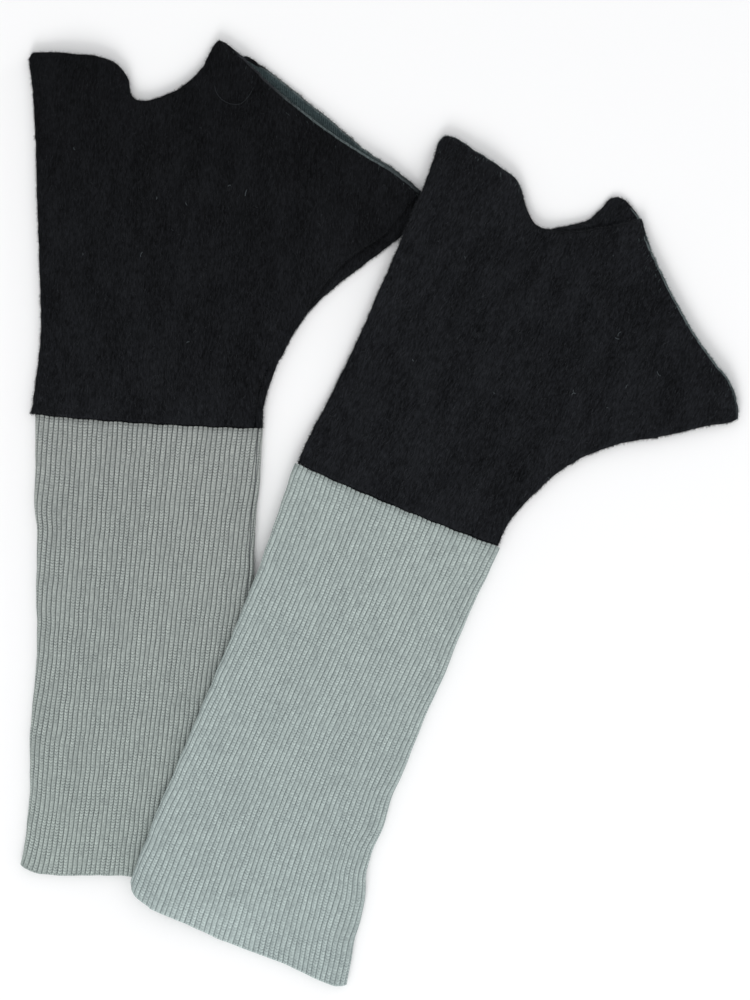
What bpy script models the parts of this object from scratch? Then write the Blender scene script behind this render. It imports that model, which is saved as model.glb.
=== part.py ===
"""A pair of long fingerless mittens laid flat, the upper one lying partly on the lower one.

Each mitten is sewn from three pieces: a front and a back hand panel of brushed fleece, and a
cuff of fine rib knit, folded double at the hem and sewn into a tube.
Each mitten is drawn in its own flat frame, in millimetres: the origin is the middle of the wrist
seam, "across" runs from the thumb side to the finger side, and "along" runs towards the hand.
"""

import bpy
import bmesh
from collections import namedtuple
from math import cos, exp, hypot, radians, sin
from mathutils import Matrix, Vector
from mathutils.geometry import interpolate_bezier

MM = 0.001

# Driving sizes, in millimetres
FLEECE = 1.8            # wall of a hand panel
KNIT = 1.6              # wall of a cuff, the knit lying double
SEAM_GAP = 0.3          # between pieces where they are sewn or lie on each other
CUFF_HOLLOW = 0.5       # air between the two flat sides of a cuff
PUFF = 1.3              # air between the hand panels, away from their seams
PUFF_REACH = 22.0       # how far from a seam the air reaches its full height
ROUNDING = 0.6          # at the rims of a hand panel
RIB_HEIGHT = 0.35
RIBS_ACROSS = 46        # on the top side of a cuff
RIBBED_DOWN_TO = -0.3   # ribs end where a fold turns under: the height part of its outward way
HEM_ROLL = 0.6          # how far the outside of a cuff rounds in at its hem
HEM_DEPTH = 2.0         # and over what length
WRIST_BOW = 1.2         # how far the wrist seam sags towards the cuff at its middle

# The step where the upper mitten climbs over the lower one
CLIMB = 4.8             # height of the step
CLIMB_MARGIN = 3.0      # the upper mitten keeps this height past the lower one's edge
CLIMB_RUN = 20.0        # and then comes down to the floor over this length

# How finely the cloth is divided
THUMB_COLUMNS = 6
CROTCH_COLUMNS = 9
FINGER_COLUMNS = 11
HAND_ROWS = 12
RIBS_PER_INNER_COLUMN = 2
FOLD_COLUMNS = 6        # outside points round the fold at each side of a cuff
FOLD_INNER_COLUMNS = 2
RIM_SEGMENTS = 2
RIM_ANGLE = 55          # degrees; sharper edges are rims, softer ones are folds
CURVE_STEPS = 12

# Finishes: linear colour and roughness
FLEECE_FINISH = ((0.012, 0.014, 0.016), 0.95)
KNIT_FINISH = ((0.36, 0.41, 0.38), 0.9)

Section = namedtuple("Section", "along left right")          # a cuff's two folded edges
Hem = namedtuple("Hem", "share along")                       # share is 0 at left, 1 at right
Fold = namedtuple("Fold", "start end width height")          # a trough has a negative height
Outline = namedtuple("Outline", "thumb_side thumb_opening crotch finger_opening outer_seam")
Mitten = namedtuple("Mitten", "name place turn cuff hem front back folds")
TubePoint = namedtuple("TubePoint", "across height out_across out_height ridge")

# The lower mitten. Every outline point is (across, along).
LOWER_CUFF = [
    Section(along=-SEAM_GAP, left=-49.6, right=51.4),
    Section(along=-20.0, left=-48.8, right=51.6),
    Section(along=-40.0, left=-47.6, right=50.8),
    Section(along=-60.0, left=-44.9, right=51.4),
    Section(along=-80.0, left=-44.0, right=51.4),
    Section(along=-100.0, left=-42.8, right=51.0),
    Section(along=-120.0, left=-42.7, right=51.0),
    Section(along=-140.0, left=-42.8, right=51.2),
    Section(along=-160.0, left=-41.6, right=51.6),
    Section(along=-180.0, left=-42.1, right=52.2),
    Section(along=-199.0, left=-43.8, right=52.8),
]
LOWER_HEM = [
    Hem(share=0.0, along=-199.6),
    Hem(share=0.05, along=-201.2),
    Hem(share=0.2, along=-202.0),
    Hem(share=0.5, along=-201.2),
    Hem(share=0.95, along=-201.4),
    Hem(share=1.0, along=-199.8),
]
LOWER_TIP = (116.6, 107.6)              # where the finger opening meets the outer seam
LOWER_OPENING_NEAR_TIP = (90, 124.9)
LOWER_SEAM_NEAR_TIP = (87.5, 72)
LOWER_FRONT = Outline(
    thumb_side=[(-51.6, 0), (-50.2, 20), (-49.8, 38), (-51.9, 60), (-54.8, 90), (-58.3, 132),
                (-62.0, 157)],
    thumb_opening=[(-62.0, 157), (-59.5, 160), (-45, 160.3), (-31, 159.4), (-23.2, 156.4),
                   (-18.8, 150)],
    crotch=[(-18.8, 150), (-17.2, 143.4), (-12, 140.8), (-3, 143.2), (7, 149), (14.6, 157.4),
            (18, 164.5), (22, 170)],
    finger_opening=[(22, 170), (33, 161.6), (46, 150.4), (60, 139.8), (75, 130.2), (90, 122.8),
                    (103, 116.2), (113.4, 109)],
    outer_seam=[(51.2, 0), (51.4, 12), (56.5, 30), (64.6, 47.6), (73, 64), (82, 76),
                (94, 89.6), (105, 99.6), (113.4, 109)],
)
LOWER_BACK = Outline(
    thumb_side=LOWER_FRONT.thumb_side,
    thumb_opening=LOWER_FRONT.thumb_opening,
    crotch=[(-18.8, 150), (-17.2, 143.4), (-12, 141), (-3, 143.4), (7, 149), (16, 155.6),
            (25, 160.2), (33.6, 163.8)],
    finger_opening=[(33.6, 163.8), (38, 162), (46.8, 156), (60, 147), (75, 136.3),
                    LOWER_OPENING_NEAR_TIP, (103, 117.5), LOWER_TIP],
    outer_seam=[(51.2, 0), (51.4, 12), (56.5, 30), (65.2, 48), (74.5, 60),
                LOWER_SEAM_NEAR_TIP, (101.8, 84), (112, 94.6), LOWER_TIP],
)
LOWER = Mitten(
    name="lower", place=(-102.2, 41.03), turn=-3.64,
    cuff=LOWER_CUFF, hem=LOWER_HEM, front=LOWER_FRONT, back=LOWER_BACK,
    folds=[
        Fold(start=(30, 146), end=(100, 106), width=9, height=-0.7),
        Fold(start=(-12, 134), end=(10, 120), width=8, height=-0.5),
        Fold(start=(-46, 150), end=(-42, 70), width=8, height=0.6),
    ],
)

# The upper mitten
UPPER_CUFF = [
    Section(along=-SEAM_GAP, left=-49.3, right=47.9),
    Section(along=-20.0, left=-48.1, right=48.1),
    Section(along=-40.0, left=-46.8, right=47.1),
    Section(along=-60.0, left=-46.2, right=47.4),
    Section(along=-80.0, left=-46.0, right=46.2),
    Section(along=-100.0, left=-46.1, right=46.8),
    Section(along=-120.0, left=-46.3, right=47.0),
    Section(along=-140.0, left=-46.5, right=47.4),
    Section(along=-160.0, left=-46.6, right=50.6),
    Section(along=-180.0, left=-46.5, right=55.0),
    Section(along=-192.0, left=-46.3, right=57.2),
    Section(along=-203.0, left=-45.4, right=59.5),
]
UPPER_HEM = [
    Hem(share=0.0, along=-200.4),
    Hem(share=0.03, along=-204.4),
    Hem(share=0.12, along=-207.0),
    Hem(share=0.6, along=-207.6),
    Hem(share=0.94, along=-207.4),
    Hem(share=1.0, along=-206.0),
]
UPPER_FRONT = Outline(
    thumb_side=[(-48, 0), (-47.8, 14), (-46.2, 32), (-44.6, 58), (-44.0, 90), (-43.9, 130),
                (-45.2, 155)],
    thumb_opening=[(-45.2, 155), (-43, 158.6), (-38, 159.4), (-28, 157.2), (-18, 155.2),
                   (-8, 152.4), (-3.6, 149)],
    crotch=[(-3.6, 149), (0.6, 143.4), (6.5, 138.2), (12.6, 136.4), (20, 140), (27, 144.6),
            (38, 151), (51, 158)],
    finger_opening=[(51, 158), (57.5, 150), (64, 144), (76.8, 132), (92, 120), (106, 111.6),
                    (114, 106.6), (121, 99), (123.9, 92.4)],
    outer_seam=[(47.2, 0), (48.2, 12), (52, 24), (58.5, 39), (66.5, 51), (80, 62.6),
                (97, 73.2), (112, 84), (121.4, 88.8), (123.9, 92.4)],
)
UPPER_BACK = Outline(
    thumb_side=UPPER_FRONT.thumb_side,
    thumb_opening=UPPER_FRONT.thumb_opening,
    crotch=[(-3.6, 149), (0.6, 143.4), (6.5, 138.2), (12.6, 136.4), (20, 140.2), (29, 147.6),
            (33.8, 156), (37.6, 162.2)],
    finger_opening=[(37.6, 162.2), (44, 161), (51.4, 157.6), (64, 144), (76.8, 132), (92, 120),
                    (106, 111.6), (119, 101.6), (123.9, 92.4)],
    outer_seam=UPPER_FRONT.outer_seam,
)
UPPER = Mitten(
    name="upper", place=(9.0, 3.93), turn=-22.49,
    cuff=UPPER_CUFF, hem=UPPER_HEM, front=UPPER_FRONT, back=UPPER_BACK,
    folds=[
        Fold(start=(-31, 146), end=(-32, 104), width=5, height=0.9),
        Fold(start=(-10, 144), end=(-5, 106), width=5, height=1.0),
        Fold(start=(10, 130), end=(98, 104), width=9, height=-0.8),
        Fold(start=(44, 52), end=(84, 84), width=8, height=-0.5),
    ],
)

# The right edge and the hem of the lower cuff, where the upper cuff climbs over them
LOWER_CUFF_EDGE = max(section.right for section in LOWER_CUFF)
LOWER_CUFF_END = min(point.along for point in LOWER_HEM)


def frame(mitten):
    """The matrix from a mitten's flat frame to the world, in millimetres."""
    return Matrix.Translation((*mitten.place, 0)) @ Matrix.Rotation(radians(mitten.turn), 4, "Z")


UPPER_TO_LOWER = frame(LOWER).inverted() @ frame(UPPER)


def ease(share):
    """A smooth step from 0 to 1."""
    share = min(max(share, 0.0), 1.0)
    return share * share * (3 - 2 * share)


def past_line(point, start, end):
    """How far a point lies to the left of the line from start to end."""
    run = (Vector(end) - Vector(start)).normalized()
    return run.cross(point - Vector(start))


def climb(across, along):
    """How high the upper mitten is held by the lower one under this point."""
    spot = (UPPER_TO_LOWER @ Vector((across, along, 0))).to_2d()
    past_cuff = hypot(max(spot.x - LOWER_CUFF_EDGE, 0), max(LOWER_CUFF_END - spot.y, 0))
    past_hand = max(past_line(spot, LOWER_OPENING_NEAR_TIP, LOWER_TIP),
                    past_line(spot, LOWER_TIP, LOWER_SEAM_NEAR_TIP), 0)
    past = min(past_cuff, past_hand)
    return CLIMB * (1 - ease((past - CLIMB_MARGIN) / CLIMB_RUN))


def floor_height(mitten, across, along):
    """The height of what a mitten lies on at this point."""
    return climb(across, along) if mitten is UPPER else 0.0


def wrist_sag(share):
    """How far the wrist seam sags at a share of its width."""
    return WRIST_BOW * 4 * share * (1 - share)


def smooth_line(points):
    """Close-set points on a smooth curve through the given ones."""
    knots = [Vector(point) for point in points]
    knots = [2 * knots[0] - knots[1], *knots, 2 * knots[-1] - knots[-2]]
    line = []
    for before, start, end, after in zip(knots, knots[1:], knots[2:], knots[3:]):
        leave = start + (end - before) / 6
        arrive = end - (after - start) / 6
        line += interpolate_bezier(start, leave, arrive, end, CURVE_STEPS)[:-1]
    return line + [knots[-2]]


def evenly(points, count):
    """Points that cut a smooth curve into count equal lengths."""
    line = smooth_line(points)
    reach = [0.0]
    for start, end in zip(line, line[1:]):
        reach.append(reach[-1] + (end - start).length)
    spaced, piece = [], 0
    for step in range(count + 1):
        target = reach[-1] * step / count
        while piece < len(line) - 2 and reach[piece + 1] < target:
            piece += 1
        share = (target - reach[piece]) / (reach[piece + 1] - reach[piece])
        spaced.append(line[piece].lerp(line[piece + 1], share))
    return spaced


def panel_places(outline):
    """Rows of points that fill a hand panel, from the wrist seam to the openings."""
    left = evenly(outline.thumb_side, HAND_ROWS)
    right = evenly(outline.outer_seam, HAND_ROWS)
    top = evenly(outline.thumb_opening, THUMB_COLUMNS)
    top += evenly(outline.crotch, CROTCH_COLUMNS)[1:]
    top += evenly(outline.finger_opening, FINGER_COLUMNS)[1:]
    columns = len(top) - 1
    bottom = []
    for column in range(columns + 1):
        over = column / columns
        bottom.append(left[0].lerp(right[0], over) - Vector((0, wrist_sag(over))))
    rows = []
    for row in range(HAND_ROWS + 1):
        up = row / HAND_ROWS
        places = []
        for column in range(columns + 1):
            over = column / columns
            between_ends = bottom[column].lerp(top[column], up)
            between_sides = left[row].lerp(right[row], over)
            corners = bottom[0].lerp(bottom[-1], over).lerp(top[0].lerp(top[-1], over), up)
            places.append(between_ends + between_sides - corners)
        rows.append(places)
    return rows


def seam_points(outline):
    """Points along the sewn edges of a hand panel; its two openings aren't sewn."""
    sewn = evenly(outline.thumb_side, HAND_ROWS) + evenly(outline.outer_seam, HAND_ROWS)
    sewn += evenly(outline.crotch, CROTCH_COLUMNS)
    return sewn + evenly([outline.thumb_side[0], outline.outer_seam[0]], HAND_ROWS)


def fold_height(folds, place):
    """The height of the large folds at a point of the front panel."""
    height = 0.0
    for fold in folds:
        start, run = Vector(fold.start), Vector(fold.end) - Vector(fold.start)
        share = min(max((place - start).dot(run) / run.length_squared, 0.0), 1.0)
        away = (place - start - run * share).length
        height += fold.height * exp(-(away / fold.width) ** 2)
    return height


def front_height(mitten, place, seams):
    """The air under the front panel: none at a seam, and the full puff away from it."""
    away = min((place - seam).length for seam in seams)
    loose = ease(away / PUFF_REACH)
    return SEAM_GAP + loose * max(PUFF + fold_height(mitten.folds, place), 0.0)


def add_object(name, bm, material, parent):
    """One named object from a bmesh in millimetres, in the frame of its parent."""
    bmesh.ops.scale(bm, vec=(MM, MM, MM), verts=bm.verts)
    mesh = bpy.data.meshes.new(name)
    bm.to_mesh(mesh)
    bm.free()
    mesh.materials.append(material)
    mesh.shade_smooth()
    obj = bpy.data.objects.new(name, mesh)
    parent.users_collection[0].objects.link(obj)
    obj.parent = parent
    return obj


def make_panel(mitten, side, material, parent):
    """A hand panel: a grid laid on its under-surface, thickened upwards, with rounded rims."""
    outline = getattr(mitten, side)
    rows = panel_places(outline)
    seams = seam_points(outline)
    bm = bmesh.new()
    bmesh.ops.create_grid(bm, x_segments=len(rows[0]) - 1, y_segments=HAND_ROWS, size=1)
    places = [place for row in rows for place in row]
    ordered = sorted(bm.verts, key=lambda vert: (round(vert.co.y, 4), vert.co.x))
    for vert, place in zip(ordered, places):
        height = floor_height(mitten, *place)
        if side == "front":
            height += FLEECE + front_height(mitten, place, seams)
        vert.co = (place.x, place.y, height)
    obj = add_object(f"{mitten.name}_hand_{side}", bm, material, parent)
    wall = obj.modifiers.new("wall", "SOLIDIFY")
    wall.thickness = FLEECE * MM
    wall.offset = 1
    rims = obj.modifiers.new("rims", "BEVEL")
    rims.width = ROUNDING * MM
    rims.segments = RIM_SEGMENTS
    rims.limit_method = "ANGLE"
    rims.angle_limit = radians(RIM_ANGLE)
    return obj


def flat_tube(section, radius, middle, counts):
    """Points round a tube that lies flat: over its top, down its right fold and back under."""
    left, right = section.left + middle, section.right - middle
    stretches = ((left, right, 90, 90), (right, right, 90, -90),
                 (right, left, -90, -90), (left, left, -90, -270))
    points = []
    for (start, end, turn_start, turn_end), count in zip(stretches, counts):
        for step in range(count):
            share = step / count
            centre = start + (end - start) * share
            turn = radians(turn_start + (turn_end - turn_start) * share)
            points.append(TubePoint(centre + radius * cos(turn), middle + radius * sin(turn),
                                    cos(turn), sin(turn), step % 2 == 1))
    return points


def hem_reach(hem, share):
    """How far along the cuff its hem lies at this share of its width."""
    for start, end in zip(hem, hem[1:]):
        if share <= end.share:
            part = max(share - start.share, 0) / (end.share - start.share)
            return start.along + (end.along - start.along) * part
    return hem[-1].along


def cuff_ring(bm, mitten, section, counts, inward=0.0, ribbed=False, short_of_hem=0.0):
    """One ring of a cuff, outside or inside, as new vertices."""
    middle = KNIT + CUFF_HOLLOW / 2
    ring = []
    for point in flat_tube(section, middle - inward, middle, counts):
        raised = ribbed and point.ridge and point.out_height > RIBBED_DOWN_TO
        rib = RIB_HEIGHT if raised else 0.0
        across = point.across + rib * point.out_across
        height = point.height + rib * point.out_height
        share = (across - section.left) / (section.right - section.left)
        along = section.along
        if section is mitten.cuff[0]:
            along -= wrist_sag(share)
        elif section is mitten.cuff[-1]:
            along = hem_reach(mitten.hem, share) + short_of_hem
        height += floor_height(mitten, across, along)
        ring.append(bm.verts.new((across, along, height)))
    return ring


def join_rings(bm, first, second):
    """Faces between two rings with the same number of points."""
    for index, vert in enumerate(first):
        bm.faces.new((first[index - 1], vert, second[index], second[index - 1]))


def close_end(bm, outer, inner, outer_counts, inner_counts):
    """Faces between an outside ring and an inside ring that has fewer points."""
    position = 0
    steps = []
    for outer_count, inner_count in zip(outer_counts, inner_counts):
        steps += [outer_count // inner_count] * inner_count
    for index, step in enumerate(steps):
        arc = [outer[(position + part) % len(outer)] for part in range(step + 1)]
        bm.faces.new((inner[(index + 1) % len(inner)], inner[index], *arc))
        position += step


def make_cuff(mitten, material, parent):
    """A cuff: rings of a flat tube, ribbed outside and plain inside, joined at both ends."""
    inner_columns = RIBS_ACROSS // RIBS_PER_INNER_COLUMN
    outer_counts = (2 * RIBS_ACROSS, FOLD_COLUMNS, inner_columns, FOLD_COLUMNS)
    inner_counts = (inner_columns, FOLD_INNER_COLUMNS, inner_columns, FOLD_INNER_COLUMNS)
    bm = bmesh.new()
    outer, inner = [], []
    for section in mitten.cuff:
        outer.append(cuff_ring(bm, mitten, section, outer_counts, ribbed=True,
                               short_of_hem=HEM_DEPTH))
        inner.append(cuff_ring(bm, mitten, section, inner_counts, inward=KNIT))
    outer.append(cuff_ring(bm, mitten, mitten.cuff[-1], outer_counts, inward=HEM_ROLL))
    for near, far in zip(outer, outer[1:]):
        join_rings(bm, near, far)
    for near, far in zip(inner, inner[1:]):
        join_rings(bm, far, near)
    for end in (0, -1):
        close_end(bm, outer[end], inner[end], outer_counts, inner_counts)
    bmesh.ops.recalc_face_normals(bm, faces=bm.faces)
    return add_object(f"{mitten.name}_cuff", bm, material, parent)


def cloth(name, finish):
    """A matte cloth material."""
    colour, roughness = finish
    material = bpy.data.materials.new(name)
    material.use_nodes = True
    shader = material.node_tree.nodes["Principled BSDF"]
    shader.inputs["Base Color"].default_value = (*colour, 1)
    shader.inputs["Roughness"].default_value = roughness
    shader.inputs["Metallic"].default_value = 0
    return material


def make_mitten(mitten, collection):
    """The three pieces of one mitten, parented to an empty at the middle of its wrist seam."""
    wrist = bpy.data.objects.new(f"{mitten.name}_mitten", None)
    wrist.location = (mitten.place[0] * MM, mitten.place[1] * MM, 0)
    wrist.rotation_euler = (0, 0, radians(mitten.turn))
    collection.objects.link(wrist)
    for side in ("back", "front"):
        make_panel(mitten, side, cloth(f"{mitten.name} {side} fleece", FLEECE_FINISH), wrist)
    make_cuff(mitten, cloth(f"{mitten.name} rib knit", KNIT_FINISH), wrist)


def main():
    """Clear the scene, then model both mittens in a collection of their own."""
    for obj in list(bpy.data.objects):
        bpy.data.objects.remove(obj, do_unlink=True)
    collection = bpy.data.collections.new("long fingerless mittens")
    bpy.context.scene.collection.children.link(collection)
    for mitten in (LOWER, UPPER):
        make_mitten(mitten, collection)


main()
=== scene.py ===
# %% [markdown]
# # A pair of long fingerless mittens, laid flat
# The real pair is sewn from two cloths: brushed black fleece for the hands, and a fine
# sage-grey rib knit for the long cuffs. The right mitten lies partly on the left one.
# Everything could be painted on the plain solids that this script loads, but cloth shows its
# make at its edges and folds, so each cut piece is modelled again as thin cloth on its solid.

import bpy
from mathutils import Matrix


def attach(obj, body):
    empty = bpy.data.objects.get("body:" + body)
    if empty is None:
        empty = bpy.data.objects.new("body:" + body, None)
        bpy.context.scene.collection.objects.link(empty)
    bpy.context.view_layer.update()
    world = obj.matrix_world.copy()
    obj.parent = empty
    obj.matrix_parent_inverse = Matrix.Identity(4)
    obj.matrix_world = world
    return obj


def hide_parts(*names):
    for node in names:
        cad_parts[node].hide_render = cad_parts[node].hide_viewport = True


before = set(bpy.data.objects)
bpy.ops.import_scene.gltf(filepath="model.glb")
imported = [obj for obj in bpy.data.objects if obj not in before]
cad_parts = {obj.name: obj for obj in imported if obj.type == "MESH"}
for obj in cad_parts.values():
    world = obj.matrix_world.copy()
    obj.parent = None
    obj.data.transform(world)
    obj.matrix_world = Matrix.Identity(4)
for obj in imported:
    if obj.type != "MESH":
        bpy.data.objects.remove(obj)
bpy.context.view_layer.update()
print("solids:", ", ".join(sorted(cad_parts)))

# %% [markdown]
# ## Sizes and helpers
# The table of a mitten is a paper pattern: each outline is a few points in millimetres, seen
# from above, with the middle of the wrist seam as origin. "Across" runs from the thumb side to
# the finger side and "along" runs from the wrist to the hand. A pattern could be one long list
# of points, but a few points and a smooth curve through them are easier to read and to alter.

# %% Modules and cloth sizes, in millimetres
import bpy
import bmesh
import numpy as np
from collections import namedtuple
from math import cos, exp, hypot, pi, radians, sin, sqrt
from mathutils import Matrix, Vector, noise
from mathutils.bvhtree import BVHTree
from mathutils.geometry import interpolate_bezier
from mathutils.kdtree import KDTree

MM = 0.001
FLEECE = 1.8                         # wall of a hand panel
KNIT = 1.6                           # wall of a cuff, the knit lying double
SEAM_GAP = 0.3                       # between two pieces that are sewn together
CUFF_HEIGHT = 4.05                   # from the floor to the top of a flat cuff's ribs
RIBS_ACROSS = 44                     # on the flat of a cuff's top side
RIBS_IN_FOLD = 3                     # ribs that turn under at each side

Section = namedtuple("Section", "along left right")     # a cuff's width, this far along
Hem = namedtuple("Hem", "share along")                  # the hem, at this share of its width
Fold = namedtuple("Fold", "line width height")          # a trough has a negative height
Outline = namedtuple("Outline", "thumb_side thumb_opening crotch finger_opening outer_seam")
Mitten = namedtuple("Mitten", [
    "name", "place", "turn",         # where its wrist's middle lies, and its turn in degrees
    "cuff", "hem", "hem_corners",    # the corners: how far the hem is drawn in at each side
    "front", "back", "turned_in",    # how wide the black outside is rolled in at each seam
    "folds", "grooves", "cuff_folds",
    "twist",                         # how many ribs the cuff's tube turns by down its length
    "seam_depth",                    # 1 where the cuff's side seam shows, 0 where it lies flat
    "rib_depth",                     # of the valleys in the mesh and of their painted shade, at the wrist and at the hem
    "fleece_light", "knit_light",    # the tone of each cloth, times painted shade from one end to the other
    "stitch_light", "lit_leg",       # how strong the stitches' painted shade is, and which leg is painted lit
    "front_glow", "back_glow",       # where across a cut edge its painted sheen starts, is full, and fades
    "fuzzy_edges",                   # openings where some of the nap is teal-grey fuzz, made pale as painted sheen
])

# %% The lower mitten's pattern
LOWER_CUFF = [Section(*row) for row in [
    (-SEAM_GAP, -49.5, 51.4), (-20.0, -48.1, 51.6), (-40.0, -47.2, 50.8), (-50.0, -45.4, 51.1),
    (-60.0, -44.6, 51.4), (-80.0, -44.0, 51.4), (-100.0, -42.1, 51.0), (-120.0, -42.0, 51.0),
    (-140.0, -42.8, 51.2), (-160.0, -41.6, 51.6), (-180.0, -41.4, 52.2), (-190.0, -42.0, 52.5),
    (-199.0, -43.3, 52.8),
]]
LOWER_HEM = [Hem(*row) for row in [
    (0.0, -200.6), (0.05, -202.2), (0.1, -202.8), (0.22, -202.4), (0.5, -201.2), (0.95, -201.4),
    (1.0, -199.8),
]]
LOWER_TIP = (116.6, 107.6)
LOWER_OPENING_NEAR_TIP = (90, 124.9)
LOWER_SEAM_NEAR_TIP = (87.5, 72)
LOWER_FRONT = Outline(
    thumb_side=[(-51.7, 0), (-50.8, 3.5), (-49.5, 20), (-49.2, 38), (-51.1, 60), (-54.0, 90),
                (-58.0, 132), (-62.0, 156.4)],
    thumb_opening=[(-62.0, 156.4), (-59.3, 159.2), (-45, 159.8), (-31, 159.2), (-25.5, 157.6),
                   (-20.5, 154.4), (-17.3, 149.5)],
    crotch=[(-17.3, 149.5), (-16.3, 143.9), (-12, 140.8), (-3, 143.2), (7, 149), (14.6, 157.4),
            (16.6, 162.2), (19.1, 167.6), (21.4, 170.0)],
    finger_opening=[(21.4, 170.0), (24.6, 168.6), (33.4, 162.2), (46, 151.2), (60, 141),
                    (75, 131.2), (90, 123), (103, 116.2), (113.4, 109)],
    outer_seam=[(51.2, 0), (51.4, 12), (56.5, 30), (64.6, 47.6), (72.4, 62), (80.6, 73.4),
                (89.2, 81.4), (97.6, 87.6), (105, 96.6), (113.4, 109)],
)
LOWER_BACK = Outline(
    thumb_side=LOWER_FRONT.thumb_side,
    thumb_opening=LOWER_FRONT.thumb_opening,
    crotch=[(-17.3, 149.5), (-16.3, 143.9), (-12, 141), (-3, 143.4), (7, 149), (16, 155.6),
            (25, 160.2), (33.6, 163.8)],
    finger_opening=[(33.6, 163.8), (38, 161.6), (46.9, 156.0), (60, 146.8), (75, 136.2),
                    LOWER_OPENING_NEAR_TIP, (103, 117.5), LOWER_TIP],
    outer_seam=[(51.2, 0), (51.4, 12), (56.5, 30), (65.2, 48), (74.5, 60),
                LOWER_SEAM_NEAR_TIP, (101.8, 84), (112, 94.6), LOWER_TIP],
)
LOWER = Mitten(
    name="lower", place=(-102.2, 41.03), turn=-3.64,
    cuff=LOWER_CUFF, hem=LOWER_HEM, front=LOWER_FRONT, back=LOWER_BACK,
    hem_corners=(1.0, 1.0), twist=6.4, seam_depth=1.0,
    turned_in={"thumb_side": 6.0, "crotch": 0.9, "outer_seam": 12.0},
    folds=[
        Fold(line=[(-34, 148), (-14, 118)], width=8, height=-0.8),
        Fold(line=[(20, 162), (34, 142), (70, 116), (104, 104)], width=7, height=-0.9),
        Fold(line=[(-50, 150), (-46, 100), (-42, 60)], width=6, height=0.6),
        Fold(line=[(48, 34), (64, 60), (86, 88)], width=7, height=0.6),
        Fold(line=[(-6, 60), (20, 36)], width=12, height=-0.5),
        Fold(line=[(-40, 5), (40, 5)], width=5, height=0.5),
    ],
    grooves=[
        Fold(line=[(47.9, -1), (48.0, 9), (49.2, 18), (52.2, 27)], width=0.6, height=-1.1),
    ],
    cuff_folds=[
        Fold(line=[(-32, -58), (-28, -100)], width=9, height=-0.5),
    ],
    rib_depth=(1.28, 1.04),
    fleece_light=(0.86, 0.50), knit_light=((0.735, 0.695, 0.695), (0.82, 0.83, 0.82)),
    stitch_light=1.5, lit_leg=-1,
    front_glow=(46, 62, 90, 118), back_glow=(39, 44, 90, 118),
    fuzzy_edges=["finger_opening"],
)
print("lower mitten: turned", LOWER.turn, "degrees, its cuff twisted by", LOWER.twist, "ribs")

# %% The upper mitten's pattern
UPPER_CUFF = [Section(*row) for row in [
    (-SEAM_GAP, -49.3, 48.7), (-20.0, -48.1, 47.9), (-40.0, -46.8, 47.1), (-60.0, -46.2, 47.4),
    (-80.0, -46.0, 47.0), (-100.0, -46.1, 47.0), (-120.0, -46.3, 46.8), (-132.0, -46.4, 48.2),
    (-146.0, -46.5, 48.0), (-156.0, -46.6, 49.6), (-167.0, -46.6, 53.4), (-182.0, -46.5, 55.4),
    (-192.0, -46.3, 57.5), (-203.0, -45.6, 60.0),
]]
UPPER_HEM = [Hem(*row) for row in [
    (0.0, -201.8), (0.03, -204.2), (0.09, -205.6), (0.118, -206.4), (0.25, -206.4),
    (0.33, -206.8), (0.45, -207.6), (0.7, -206.6), (0.94, -207.4), (1.0, -206.0),
]]
UPPER_FRONT = Outline(
    thumb_side=[(-48, 0), (-47.8, 14), (-46.2, 32), (-44.6, 58), (-43.9, 90), (-43.4, 130),
                (-43.7, 142), (-44.9, 155.2)],
    thumb_opening=[(-44.9, 155.2), (-43.2, 158.6), (-38, 159.4), (-28, 157.4), (-18, 155.6),
                   (-8, 153.2), (-3.0, 149.6)],
    crotch=[(-3.0, 149.6), (1.2, 143.8), (6.5, 138.9), (12.6, 137.2), (17.4, 138.2),
            (21.9, 139.8), (28, 142.6), (35.1, 147.2), (40.9, 150.7), (51, 158)],
    finger_opening=[(51, 158), (57.1, 149.6), (63.5, 143.5), (76.6, 131.7), (92, 119.8),
                    (105.6, 111.2), (114, 106.6), (121, 99), (123.9, 92.8)],
    outer_seam=[(47.3, 0), (48.0, 12), (52.1, 24), (58.8, 38.7), (67.0, 50.4), (80, 62.4),
                (97, 73.2), (112, 84), (120.8, 89.4), (123.9, 92.8)],
)
UPPER_BACK = Outline(
    thumb_side=UPPER_FRONT.thumb_side,
    thumb_opening=UPPER_FRONT.thumb_opening,
    crotch=[(-3.0, 149.6), (1.2, 143.8), (6.5, 138.9), (12.6, 137.2), (19.6, 141), (29, 148.2),
            (32.4, 154.6), (34.2, 160.2), (37.4, 162.9)],
    finger_opening=[(37.4, 162.9), (41.4, 162.8), (46.6, 160.4), (51.6, 156.4), (63.5, 143.5),
                    (76.6, 131.7), (92, 119.8), (105.6, 111.2), (119, 101.4), (123.9, 92.8)],
    outer_seam=UPPER_FRONT.outer_seam,
)
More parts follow.
